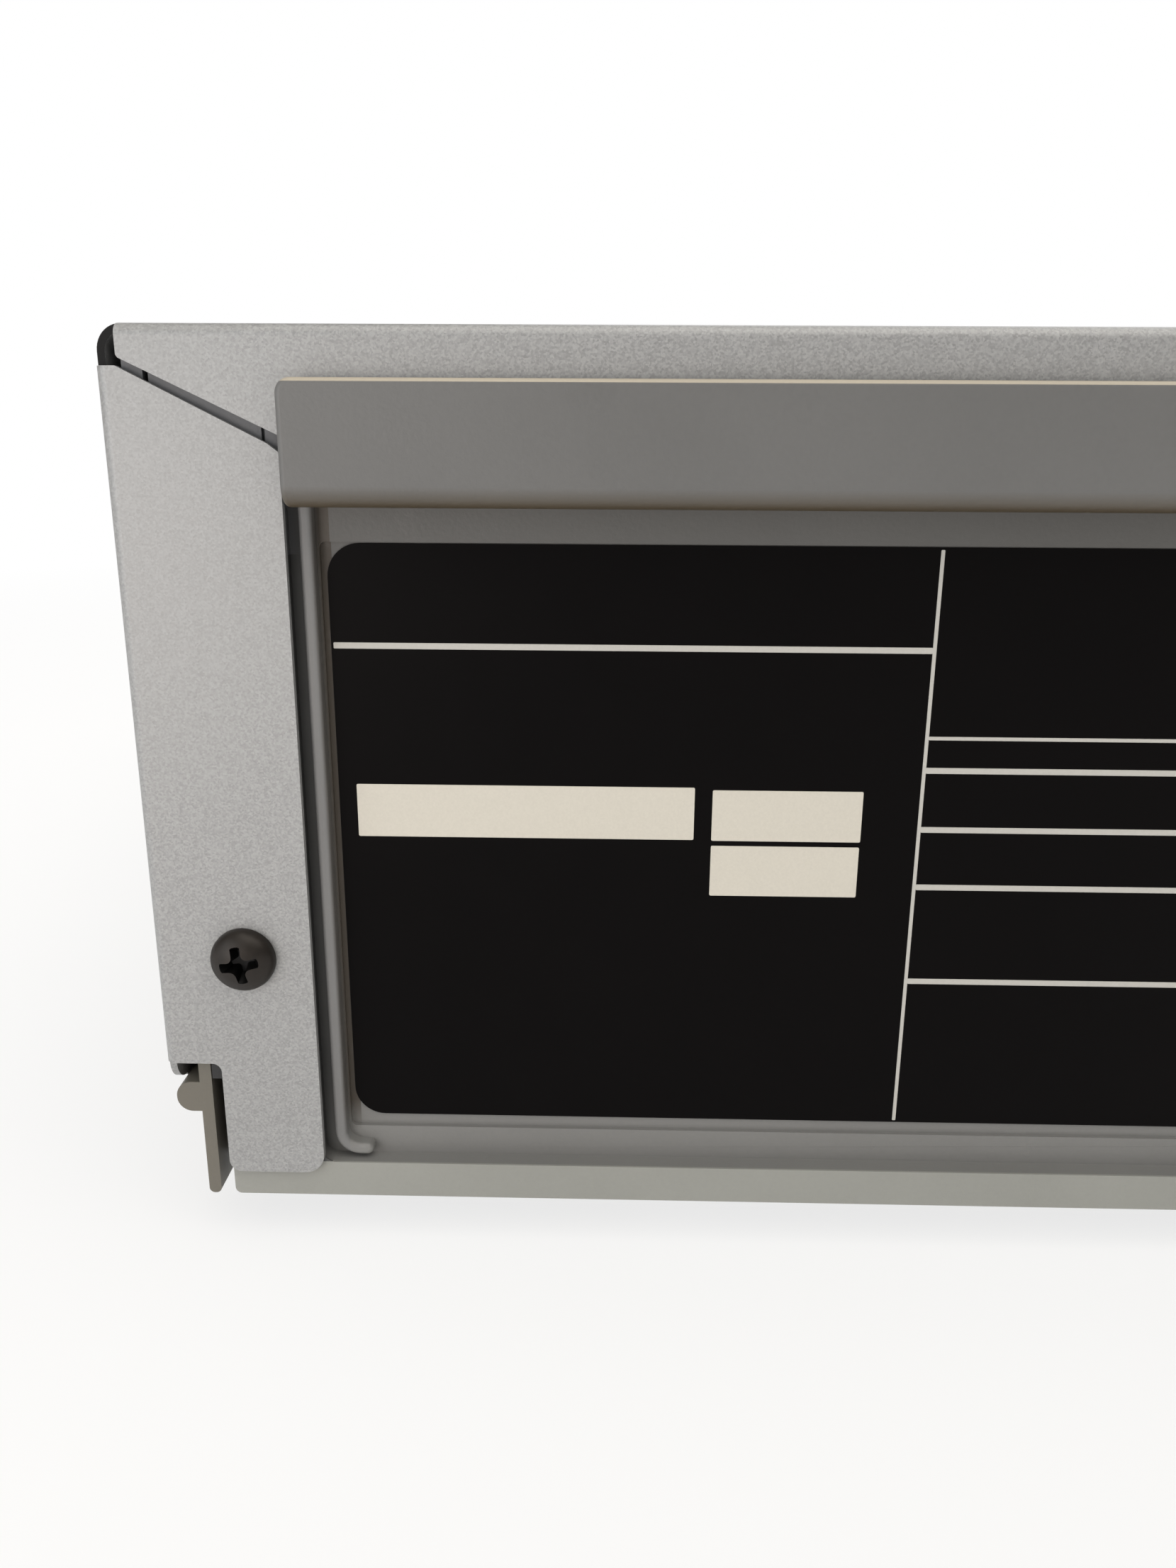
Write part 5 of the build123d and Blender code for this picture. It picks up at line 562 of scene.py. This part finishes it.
def plated_sheet(name, colour, rough, stretch=ROLLED):
    """Plated metal: spangles of many greys, and fine lines stretched along one way."""
    material, wire, set_sockets = finish(name, {"Metallic": 0.9})
    spangle = wire.cells(SPANGLE_SIZE)
    lines = wire.noise(LINE_SIZE, 3.0, stretch)
    shade = spangle * 0.35 + lines * 0.65
    set_sockets(Base_Color=shade.between(toned(colour, 0.8), colour),
                Roughness=lines * 0.2 + (rough - 0.1) + spangle * 0.06,
                Normal=wire.bump(lines, LINE_DEPTH))
    return material


zinc = plated_sheet("zinc_sheet", (0.58, 0.59, 0.6), 0.38)
dress(zinc, "bottom_plate", "deck_plate", "cassette_guides", "cassette_holder", "cassette_stops",
      "pinch_arm", "tray_motor", "drive_motors", "capstan_motor")


# Plate screws: eight blackened steel screws, the same as the cover's.
# They are driven up through the bottom plate into the frame's floor, each column turned its own way.
plate_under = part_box("bottom_plate")[0].z
FRONT_ROW, MIDDLE_ROW, REAR_ROW = -98 * MM, 8 * MM, 104 * MM
PLATE_SCREW_X = 196 * MM
PLATE_COLUMNS = ((-PLATE_SCREW_X, (FRONT_ROW, MIDDLE_ROW, REAR_ROW), 80),
                 (PLATE_SCREW_X, (FRONT_ROW, MIDDLE_ROW, REAR_ROW), 280),
                 (0, (FRONT_ROW, REAR_ROW), 0))
plate_places = [((x, y, plate_under), (0, 0, -1), turn) for x, rows, turn in PLATE_COLUMNS for y in rows]
screw_set("plate_screws", plate_places, "casing")


# Feet: soft black rubber, moulded with a shallow cup underneath.
# Each is pressed into the bottom plate.
foot_rubber = moulded("foot_rubber", (0.022, 0.022, 0.022), 0.75, grain=0.5 * MM, depth=0.03 * MM,
                      worn=0.12)
dress(foot_rubber, "feet")


# Gland, jack blocks and inner mouldings: black plastic with a finer grain than the casing.
# Each jack's ring and core are moulded in the colour of its signal.
black_plastic = moulded("black_plastic", (0.018, 0.018, 0.019), 0.42, grain=0.25 * MM, depth=0.012 * MM)
dark_plastic = moulded("dark_plastic", (0.035, 0.035, 0.038), 0.46, grain=0.3 * MM, depth=0.015 * MM)
dress(black_plastic, "cord_gland", "jack_blocks", "front_jacks")
dress(dark_plastic, "disc_tray", "loader_frame", "clamp_bridge", "traverse_plate", "turntable",
      "pickup_sled", "supply_reel", "take_up_reel")
SIGNALS = {"green": (0.02, 0.24, 0.06), "blue": (0.02, 0.07, 0.36), "red": (0.44, 0.018, 0.02),
           "orange": (0.66, 0.19, 0.02), "white": (0.7, 0.7, 0.67), "yellow": (0.72, 0.5, 0.02)}
UPPER_ROW, LOWER_ROW = 44.5 * MM, 24.5 * MM
LEFT_BLOCK, RIGHT_BLOCK, JACK_STEP = 38.5 * MM, -25.5 * MM, 16 * MM
REAR_JACKS = ((LEFT_BLOCK, UPPER_ROW, ("green", "blue", "red")),
              (LEFT_BLOCK, LOWER_ROW, ("orange", "white", "red")),
              (RIGHT_BLOCK, UPPER_ROW, ("yellow", "white", "red")),
              (RIGHT_BLOCK, LOWER_ROW, ("yellow", "white", "red")))
FRONT_JACKS, FRONT_JACK_ROW = {"yellow": -125 * MM, "white": -110 * MM, "red": -95 * MM}, 24.5 * MM
RING_R, RING_SET_BACK, FRONT_RING_SET_BACK = 5.3 * MM, 4.4 * MM, 3.1 * MM
SLEEVE_R = (3.3 * MM, 4.3 * MM)
JACK_GRAIN, JACK_DEPTH = 0.3 * MM, 0.006 * MM
ring_back = cover_high.y - RING_SET_BACK
front_ring_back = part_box("front_jacks")[1].y - FRONT_RING_SET_BACK


def jack_plastic(signal, colour, x):
    """A front jack: coloured ring and core, with the plated sleeve between them."""
    material, wire, set_sockets = finish("front_jack_" + signal, {})
    across, up = wire.along("X") - x, wire.along("Z") - FRONT_JACK_ROW
    square = across * across + up * up
    sleeve = (square > SLEEVE_R[0] ** 2) * (square < SLEEVE_R[1] ** 2)
    grain = wire.noise(JACK_GRAIN, 3.0)
    plastic = grain.between(toned(colour, 0.85), colour)
    set_sockets(Base_Color=sleeve.between(plastic, (0.62, 0.61, 0.58)), Metallic=sleeve * 0.9,
                Roughness=grain * 0.1 + 0.28, Normal=wire.bump(grain, JACK_DEPTH))
    return material


for signal, colour in SIGNALS.items():
    plastic = moulded("jack_" + signal, colour, 0.34, JACK_GRAIN, JACK_DEPTH)
    centres = [(x - signals.index(signal) * JACK_STEP, z)
               for x, z, signals in REAR_JACKS if signal in signals]
    dress_faces(plastic, "jack_blocks", lambda middle, normal: middle.y > ring_back and any(
        math.hypot(middle.x - x, middle.z - z) < RING_R for x, z in centres))
    if signal in FRONT_JACKS:
        front_x = FRONT_JACKS[signal]
        dress_faces(jack_plastic(signal, colour, front_x), "front_jacks",
                    lambda middle, normal: middle.y < front_ring_back and math.hypot(
                        middle.x - front_x, middle.z - FRONT_JACK_ROW) < RING_R)


# Socket collars, tuner can and turned pieces: nickel plate over steel, with fine turning lines.
# The tuner's two antenna sockets are threaded barrels with a white core round the pin's hole.
NICKEL, TURNED = (0.66, 0.65, 0.62), (4, 0.2, 4)
nickel = plated_sheet("nickel_plate", NICKEL, 0.26, TURNED)
dress(nickel, "jack_collars", "guide_rods", "lead_screw", "capstan", "supply_guide", "take_up_guide")
ANTENNA_X = -91 * MM
BARREL_R, CORE_R, CORE_SLACK = 4.7 * MM, 3.1 * MM, 0.05 * MM
THREAD_RISE, THREAD_ROOT, THREAD_PITCH, THREAD_STEPS = 0.22 * MM, -0.1 * MM, 0.8 * MM, 28
ROOT_HALF, CREST_HALF = 0.38 * THREAD_PITCH, 0.08 * THREAD_PITCH
RIDGE_CORNERS = 4
THREAD_SET_BACK, THREAD_LEAD = 1.2 * MM, 0.6 * MM
tuner_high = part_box("tuner")[1]


def antenna_nickel():
    """Plated barrels, with the white core in the middle of their ends."""
    material, wire, set_sockets = finish("antenna_nickel", {})
    lines = wire.noise(LINE_SIZE, 3.0, TURNED)
    middle_row = (UPPER_ROW + LOWER_ROW) / 2
    up = abs(wire.along("Z") - middle_row) - (UPPER_ROW - LOWER_ROW) / 2
    across = wire.along("X") - ANTENNA_X
    core = (up * up + across * across < CORE_R ** 2) * (wire.along("Y") > tuner_high.y - CORE_SLACK)
    barrel = lines.between((0.52, 0.51, 0.49), NICKEL)
    set_sockets(Base_Color=core.between(barrel, (0.72, 0.71, 0.66)), Metallic=0.9 - core * 0.9,
                Roughness=lines * 0.2 + 0.16 + core * 0.2, Normal=wire.bump(lines, LINE_DEPTH))
    return material


def thread(points, faces, x, z, first, last):
    """Adds a screw thread round a barrel lying along Y: one ridge wound from end to end."""
    start = len(points)
    count = int((last - first) / THREAD_PITCH * THREAD_STEPS)
    for step in range(count + 1):
        angle = 2 * math.pi * step / THREAD_STEPS
        crest = THREAD_RISE * min(1, step / THREAD_STEPS * 2, (count - step) / THREAD_STEPS * 2)
        ridge = ((THREAD_ROOT, -ROOT_HALF), (crest, -CREST_HALF),
                 (crest, CREST_HALF), (THREAD_ROOT, ROOT_HALF))
        y = first + (last - first) * step / count
        for reach, shift in ridge:
            points.append((x + (BARREL_R + reach) * math.sin(angle), y + shift,
                           z + (BARREL_R + reach) * math.cos(angle)))
    for step in range(count):
        low = start + RIDGE_CORNERS * step
        high = low + RIDGE_CORNERS
        for i in range(RIDGE_CORNERS):
            j = (i + 1) % RIDGE_CORNERS
            faces.append([low + i, low + j, high + j, high + i])
    faces.append([start + i for i in reversed(range(RIDGE_CORNERS))])
    faces.append([start + RIDGE_CORNERS * count + i for i in range(RIDGE_CORNERS)])


antenna_plate = antenna_nickel()
dress(antenna_plate, "tuner")
thread_points, thread_faces = [], []
thread_ends = (cover_high.y - THREAD_SET_BACK, tuner_high.y - THREAD_LEAD)
for height in (UPPER_ROW, LOWER_ROW):
    thread(thread_points, thread_faces, ANTENNA_X, height, *thread_ends)
threads = shaped("antenna_threads", thread_points, thread_faces)
threads.data.materials.append(antenna_plate)
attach(threads, "casing")


# Front panel, cassette door and tray bar: moulded, then sprayed with a finer silver than the cover.
# The sunk field round the controls is masked off and sprayed a dark steel grey.
FRONT_DARK, FRONT_LIGHT = (0.46, 0.465, 0.47), (0.60, 0.605, 0.61)
FRONT_CLUSTER, FRONT_DEPTH = 0.3 * MM, 0.01 * MM
front_silver = flake_paint("front_silver", FRONT_DARK, FRONT_LIGHT, 0.4)
dress(front_silver, "cassette_door", "tray_front")
FIELD_X, FIELD_FOOT, FIELD_TOP = 206.1 * MM, 9.4 * MM, 39.6 * MM
FIELD_SUNK, FIELD_SLACK = 1.0 * MM, 0.4 * MM
field_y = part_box("front_panel")[0].y + FIELD_SUNK


def front_paint():
    """The front's silver, and the dark paint of its control field."""
    lacquer = {"Metallic": 0.45, "Coat Weight": 0.1, "Coat Roughness": 0.3}
    material, wire, set_sockets = finish("front_paint", lacquer)
    flake = wire.cells(FLAKE_SIZE)
    cluster = wire.noise(FRONT_CLUSTER, 3.0)
    shade = flake * 0.4 + cluster * 0.6
    height = wire.along("Z")
    field = (aside(wire) < FIELD_X) * (height > FIELD_FOOT) * (height < FIELD_TOP)
    field *= wire.along("Y") > field_y - FIELD_SLACK
    silver = shade.between(FRONT_DARK, FRONT_LIGHT)
    steel = shade.between((0.085, 0.088, 0.095), (0.125, 0.129, 0.137))
    set_sockets(Base_Color=field.between(silver, steel), Roughness=flake * 0.16 + 0.32,
                Normal=wire.bump(cluster, FRONT_DEPTH))
    return material


dress(front_paint(), "front_panel")


# Display window: a smoked acrylic pane let into the front panel.
# The display tube, a flat glass box, stands on the front board behind it.
HAIR_SIZE, HAIR_STRETCH = 1.2 * MM, (9, 1, 0.35)


def smoked_acrylic():
    """Dark clear plastic with a few hairline scratches."""
    smoke = {"Base Color": (0.012, 0.012, 0.014, 1), "Alpha": 0.8, "Specular IOR Level": 0.3}
    material, wire, set_sockets = finish("smoked_acrylic", smoke)
    hairs = wire.noise(HAIR_SIZE, 4.0, HAIR_STRETCH)
    set_sockets(Roughness=hairs * 0.1 + 0.04)
    return material


dress(smoked_acrylic(), "display_window")
display_glass = moulded("display_glass", (0.02, 0.032, 0.032), 0.14, grain=1.5 * MM, depth=0.002 * MM)
dress(display_glass, "display_tube")


# Buttons: moulded caps with a light crown, silver sprayed, each on its own spring.
# The usual signs of a player's controls are printed on the field above or below them.
button_silver = flake_paint("button_silver", (0.50, 0.505, 0.51), (0.66, 0.665, 0.67), 0.36)
buttons = [name for name in nodes if name.endswith("_button")]
dress(button_silver, *buttons)
SIGN, SIGN_GAP = 1.3 * MM, 1.2 * MM
ARROW_BACK, BAR_ROUNDING = 0.75, 0.15
ABOVE, BELOW = True, False
RIGHT, UP, LEFT, DOWN = range(4)


def on_field(across, up, lift):
    """A place on the sunk control field, as seen from the front."""
    return (across, field_y - lift, up)


def arrow(x, z, way, size=SIGN):
    """A triangle that points right, up, left or down."""
    corners = ((size, 0), (-ARROW_BACK * size, size), (-ARROW_BACK * size, -size))
    for _ in range(way):
        corners = [(-b, a) for a, b in corners]
    return [(x + a, z + b) for a, b in corners]


def bar(x, z, width, height):
    """A rectangle, slightly rounded at its corners."""
    radius = min(width, height) * BAR_ROUNDING
    return rounded(x - width / 2, x + width / 2, z - height / 2, z + height / 2, radius, 2)


def arc(x, z, inner, outer, start, end, steps=24):
    """A ring, or a part of one, from one angle to another."""
    angles = [math.radians(start + (end - start) * step / steps) for step in range(steps + 1)]
    return ([(x + outer * math.cos(a), z + outer * math.sin(a)) for a in angles]
            + [(x + inner * math.cos(a), z + inner * math.sin(a)) for a in reversed(angles)])


def beside(name, side=ABOVE):
    """The middle of a button's sign, above it or below it."""
    low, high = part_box(name)
    return (low.x + high.x) / 2, high.z + SIGN_GAP if side == ABOVE else low.z - SIGN_GAP


signs = [arrow(*beside("play_button"), RIGHT)]
for name, way in (("rewind_button", LEFT), ("forward_button", RIGHT)):
    x, z = beside(name)
    signs += [arrow(x - 0.9 * SIGN, z, way), arrow(x + 0.9 * SIGN, z, way)]
signs.append(bar(*beside("stop_button"), 1.8 * SIGN, 1.8 * SIGN))
for name, side in (("tape_eject_button", ABOVE), ("disc_open_button", BELOW)):
    x, z = beside(name, side)
    signs += [arrow(x, z + 0.35 * SIGN, UP), bar(x, z - SIGN, 2 * SIGN, 0.45 * SIGN)]
x, z = beside("power_button")
signs += [arc(x, z, 0.8 * SIGN, 1.1 * SIGN, 125, 415), bar(x, z + 0.75 * SIGN, 0.32 * SIGN, 1.3 * SIGN)]
x, z = beside("source_button")
signs += [arrow(x - 1.1 * SIGN, z, LEFT, 0.8 * SIGN), arrow(x + 1.1 * SIGN, z, RIGHT, 0.8 * SIGN)]
signs.append(arrow(*beside("channel_up_button"), UP, 0.9 * SIGN))
signs.append(arrow(*beside("channel_down_button", BELOW), DOWN, 0.9 * SIGN))
sign_ink = print_ink("sign_ink", (0.62, 0.63, 0.63))
printed("control_signs", signs, on_field, sign_ink, "casing")
DOT_HOLE = 0.01 * MM
record_dot = arc(*beside("record_button"), DOT_HOLE, SIGN, 0, 359)
red_ink = print_ink("red_ink", (0.5, 0.02, 0.02))
printed("record_sign", [record_dot], on_field, red_ink, "casing")


# Gears, pulleys and the disc clamp: white acetal, moulded and slightly waxy.
# The belt between the pulleys and the pinch roller are black rubber.
white_acetal = moulded("white_acetal", (0.72, 0.72, 0.68), 0.38, grain=0.4 * MM, depth=0.01 * MM)
dress(white_acetal, "tray_pinion", "motor_pulley", "disc_clamp")
belt_rubber = moulded("belt_rubber", (0.016, 0.016, 0.017), 0.6, grain=0.3 * MM, depth=0.01 * MM)
dress(belt_rubber, "tray_belt", "pinch_roller")


# Pickup lens: a small glass lens in the middle of the sled.
# Its coating is violet, deeper towards one side.
COATING_SIZE, SMEAR_SIZE = 4 * MM, 1 * MM
LENS_X, LENS_Y, LENS_R, LENS_HEIGHT = 110 * MM, -23 * MM, 3.6 * MM, 2.2 * MM


def lens_glass():
    """Coated glass with a few smears."""
    material, wire, set_sockets = finish("lens_glass", {"Coat Weight": 0.8, "Coat Roughness": 0.03})
    coating = wire.noise(COATING_SIZE, 1.0)
    set_sockets(Base_Color=coating.between((0.02, 0.015, 0.09), (0.07, 0.03, 0.2)),
                Roughness=wire.noise(SMEAR_SIZE, 2.0) * 0.06 + 0.05)
    return material


lens_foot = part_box("pickup_sled")[1].z - LENS_HEIGHT
dress_faces(lens_glass(), "pickup_sled", lambda middle, normal: middle.z > lens_foot and math.hypot(
    middle.x - LENS_X, middle.y - LENS_Y) < LENS_R)


# Head drum: a fixed lower half and a spinning upper half, turned from aluminium.
# Both are polished to a mirror along the tape's path.
POLISHED = (5, 5, 0.12)
drum = plated_sheet("turned_aluminium", (0.78, 0.78, 0.79), 0.22, POLISHED)
dress(drum, "lower_drum", "upper_drum")


# Boards: paper laminate under a green resist, with the copper tracks showing through it.
# On them stand a taped transformer, sleeved capacitors, a cooling plate, a screened block and a
# chip, and on the front board the switches behind the buttons.
TRACK_SIZE, TRACK_STRETCH, TRACK_DEPTH = 3 * MM, (1, 3, 1), 0.03 * MM


def laminate():
    """Resist over copper: broad tracks a little lighter than the ground between them."""
    material, wire, set_sockets = finish("laminate", {"Specular IOR Level": 0.5})
    tracks = wire.noise(TRACK_SIZE, 1.0, TRACK_STRETCH) > 0.5
    set_sockets(Base_Color=tracks.between((0.05, 0.1, 0.035), (0.09, 0.16, 0.06)),
                Roughness=0.35 + tracks * 0.1, Normal=wire.bump(tracks, TRACK_DEPTH))
    return material


def dress_parts(material, board, half_width, half_depth, *centres):
    """Gives parts that stand on a board their finish: half sizes and middles in millimetres."""
    dress_faces(material, board, lambda middle, normal: middle.z > BOARD_TOP and any(
        abs(middle.x / MM - x) < half_width and abs(middle.y / MM - y) < half_depth for x, y in centres))


BOARD_TOP = 13.65 * MM
FRONT_BOARD_FACE = -116.05 * MM
MAINS_CAPACITOR = (10.1, 10.1, (-179, 45))
SMALL_CAPACITORS = (4.1, 4.1, (-200, 64), (-200, 76))
CAPACITOR_ROW = (5.1, 5.1, (110, 85.9), (126, 85.9), (142, 85.9), (158, 85.9))
TRANSFORMER = (14.1, 14.1, (-179, 72))
COOLING_PLATE = (12.1, 1.6, (-179, 91.5))
SCREENED_BLOCK = (14.1, 14.1, (64, 69.9))
CHIP = (11.1, 9.1, (-29, 48.9))
dress(laminate(), "main_board", "power_board", "front_board")
sleeve = moulded("capacitor_sleeve", (0.018, 0.024, 0.075), 0.32, grain=0.6 * MM, depth=0.004 * MM)
dress_parts(sleeve, "power_board", *MAINS_CAPACITOR)
dress_parts(sleeve, "power_board", *SMALL_CAPACITORS)
dress_parts(sleeve, "main_board", *CAPACITOR_ROW)
winding_tape = moulded("winding_tape", (0.5, 0.33, 0.06), 0.36, grain=1.2 * MM, depth=0.01 * MM)
dress_parts(winding_tape, "power_board", *TRANSFORMER)
dress_parts(zinc, "power_board", *COOLING_PLATE)
dress_parts(zinc, "main_board", *SCREENED_BLOCK)
dress_parts(black_plastic, "main_board", *CHIP)
dress_faces(black_plastic, "front_board", lambda middle, normal: middle.y < FRONT_BOARD_FACE)


# Floor: a plain sheet of white paper under the feet, wide enough to be the whole background.
# It is lit and shaded near the player, and goes over to pure white away from it.
FLOOR_HALF, FADE_START, FADE_END, NEAR_WHITE = 6.0, 0.22, 0.7, 0.72
PAPER_CLOUD = 0.4


def pale_floor():
    """White paper with faint clouds, mixed with plain white for all that looks at it."""
    material, wire, set_sockets = finish("pale_floor", {"Roughness": 0.9})
    set_sockets(Base_Color=wire.noise(PAPER_CLOUD, 2.0).between((0.9, 0.9, 0.895), (0.93, 0.93, 0.925)))
    tree = material.node_tree
    away = wire.node("VectorMath", {0: wire.place()}, "Value", operation="LENGTH")
    fade = away.ramp(FADE_START, FADE_END) * (1 - NEAR_WHITE) + NEAR_WHITE
    rays = tree.nodes.new("ShaderNodeLightPath")
    camera, glossy, through = (Wire(tree, rays.outputs[kind]) for kind in
                               ("Is Camera Ray", "Is Glossy Ray", "Is Transmission Ray"))
    seen = wire.math("MAXIMUM", wire.math("MAXIMUM", camera, glossy), through)
    white = wire.node("Emission", {"Color": (1, 1, 1, 1), "Strength": 1.0})
    lit = Wire(tree, tree.nodes["Principled BSDF"].outputs[0])
    mixed = wire.node("MixShader", {0: fade * seen, 1: lit, 2: white})
    wire.feed(tree.nodes["Material Output"].inputs["Surface"], mixed)
    return material


floor_corners = [(-FLOOR_HALF, -FLOOR_HALF, 0), (FLOOR_HALF, -FLOOR_HALF, 0),
                 (FLOOR_HALF, FLOOR_HALF, 0), (-FLOOR_HALF, FLOOR_HALF, 0)]
floor = shaped("floor", floor_corners, [(0, 1, 2, 3)])
floor.data.materials.append(pale_floor())


# Light: a pale room that looks white to the eye, a cool soft box behind the rear left corner, a
# large warm one overhead, a weak glow off the table at that corner, and a fill for the front.
world = bpy.data.worlds.new("studio")
bpy.context.scene.world = world
world.use_nodes = True
ROOM_LEVEL = 0.32
wire = Wire(world.node_tree)
path = world.node_tree.nodes.new("ShaderNodeLightPath")
seen = Wire(world.node_tree, path.outputs["Is Camera Ray"])
seen = seen.math("MAXIMUM", seen, Wire(world.node_tree, path.outputs["Is Transmission Ray"]))
room = world.node_tree.nodes["Background"]
wire.feed(room.inputs["Color"], seen.between((1, 0.955, 0.9), (1, 1, 1)))
wire.feed(room.inputs["Strength"], seen * (1 - ROOM_LEVEL) + ROOM_LEVEL)


def soft_box(name, place, target, size, power, colour):
    """A square area lamp that faces a point."""
    lamp = bpy.data.lights.new(name, "AREA")
    lamp.size = size
    lamp.energy = power
    lamp.color = colour
    holder = bpy.data.objects.new(name, lamp)
    holder.location = place
    holder.rotation_mode = "QUATERNION"
    holder.rotation_quaternion = (Vector(target) - Vector(place)).to_track_quat("-Z", "Y")
    bpy.context.collection.objects.link(holder)


soft_box("rear_key", place=(0.66, 0.62, 0.2), target=(0.15, 0.12, 0.03), size=0.6,
         power=2.0, colour=(0.91, 0.965, 1))
soft_box("overhead", place=(-0.1, 0.4, 1.0), target=(0, 0.06, 0.05), size=1.2,
         power=9.5, colour=(1, 0.96, 0.89))
soft_box("low_bounce", place=(0.32, 0.34, 0.03), target=(0.19, 0.12, 0.03), size=0.12,
         power=0.15, colour=(1, 0.86, 0.78))
soft_box("front_fill", place=(-0.5, -1.1, 0.8), target=(0, -0.1, 0.04), size=1.6,
         power=13.5, colour=(0.98, 0.99, 1))


# Camera: where the photograph was taken from, close to the rear corner and looking a little down.
# Its place, angles and focal length were fitted to the corner's edges in the photograph.
PHOTO_HEIGHT, FOCAL_PIXELS = 2212, 1661
SENSOR, NEAREST = 36.0, 5 * MM
CAMERA_PLACE = (176.135 * MM, 213.874 * MM, 70.424 * MM)
PITCH, YAW, ROLL = (math.radians(angle) for angle in (16.034, 1.157, 0.345))
camera_data = bpy.data.cameras.new("camera")
camera_data.sensor_width = SENSOR
camera_data.lens = SENSOR * FOCAL_PIXELS / PHOTO_HEIGHT
camera_data.clip_start = NEAREST
camera = bpy.data.objects.new("camera", camera_data)
look = Vector((math.sin(YAW) * math.cos(PITCH), -math.cos(YAW) * math.cos(PITCH), -math.sin(PITCH)))
camera.location = CAMERA_PLACE
camera.rotation_mode = "QUATERNION"
camera.rotation_quaternion = look.to_track_quat("-Z", "Y") @ Quaternion((0, 0, 1), ROLL)
bpy.context.collection.objects.link(camera)
bpy.context.scene.camera = camera
bpy.context.scene.view_settings.view_transform = "Standard"
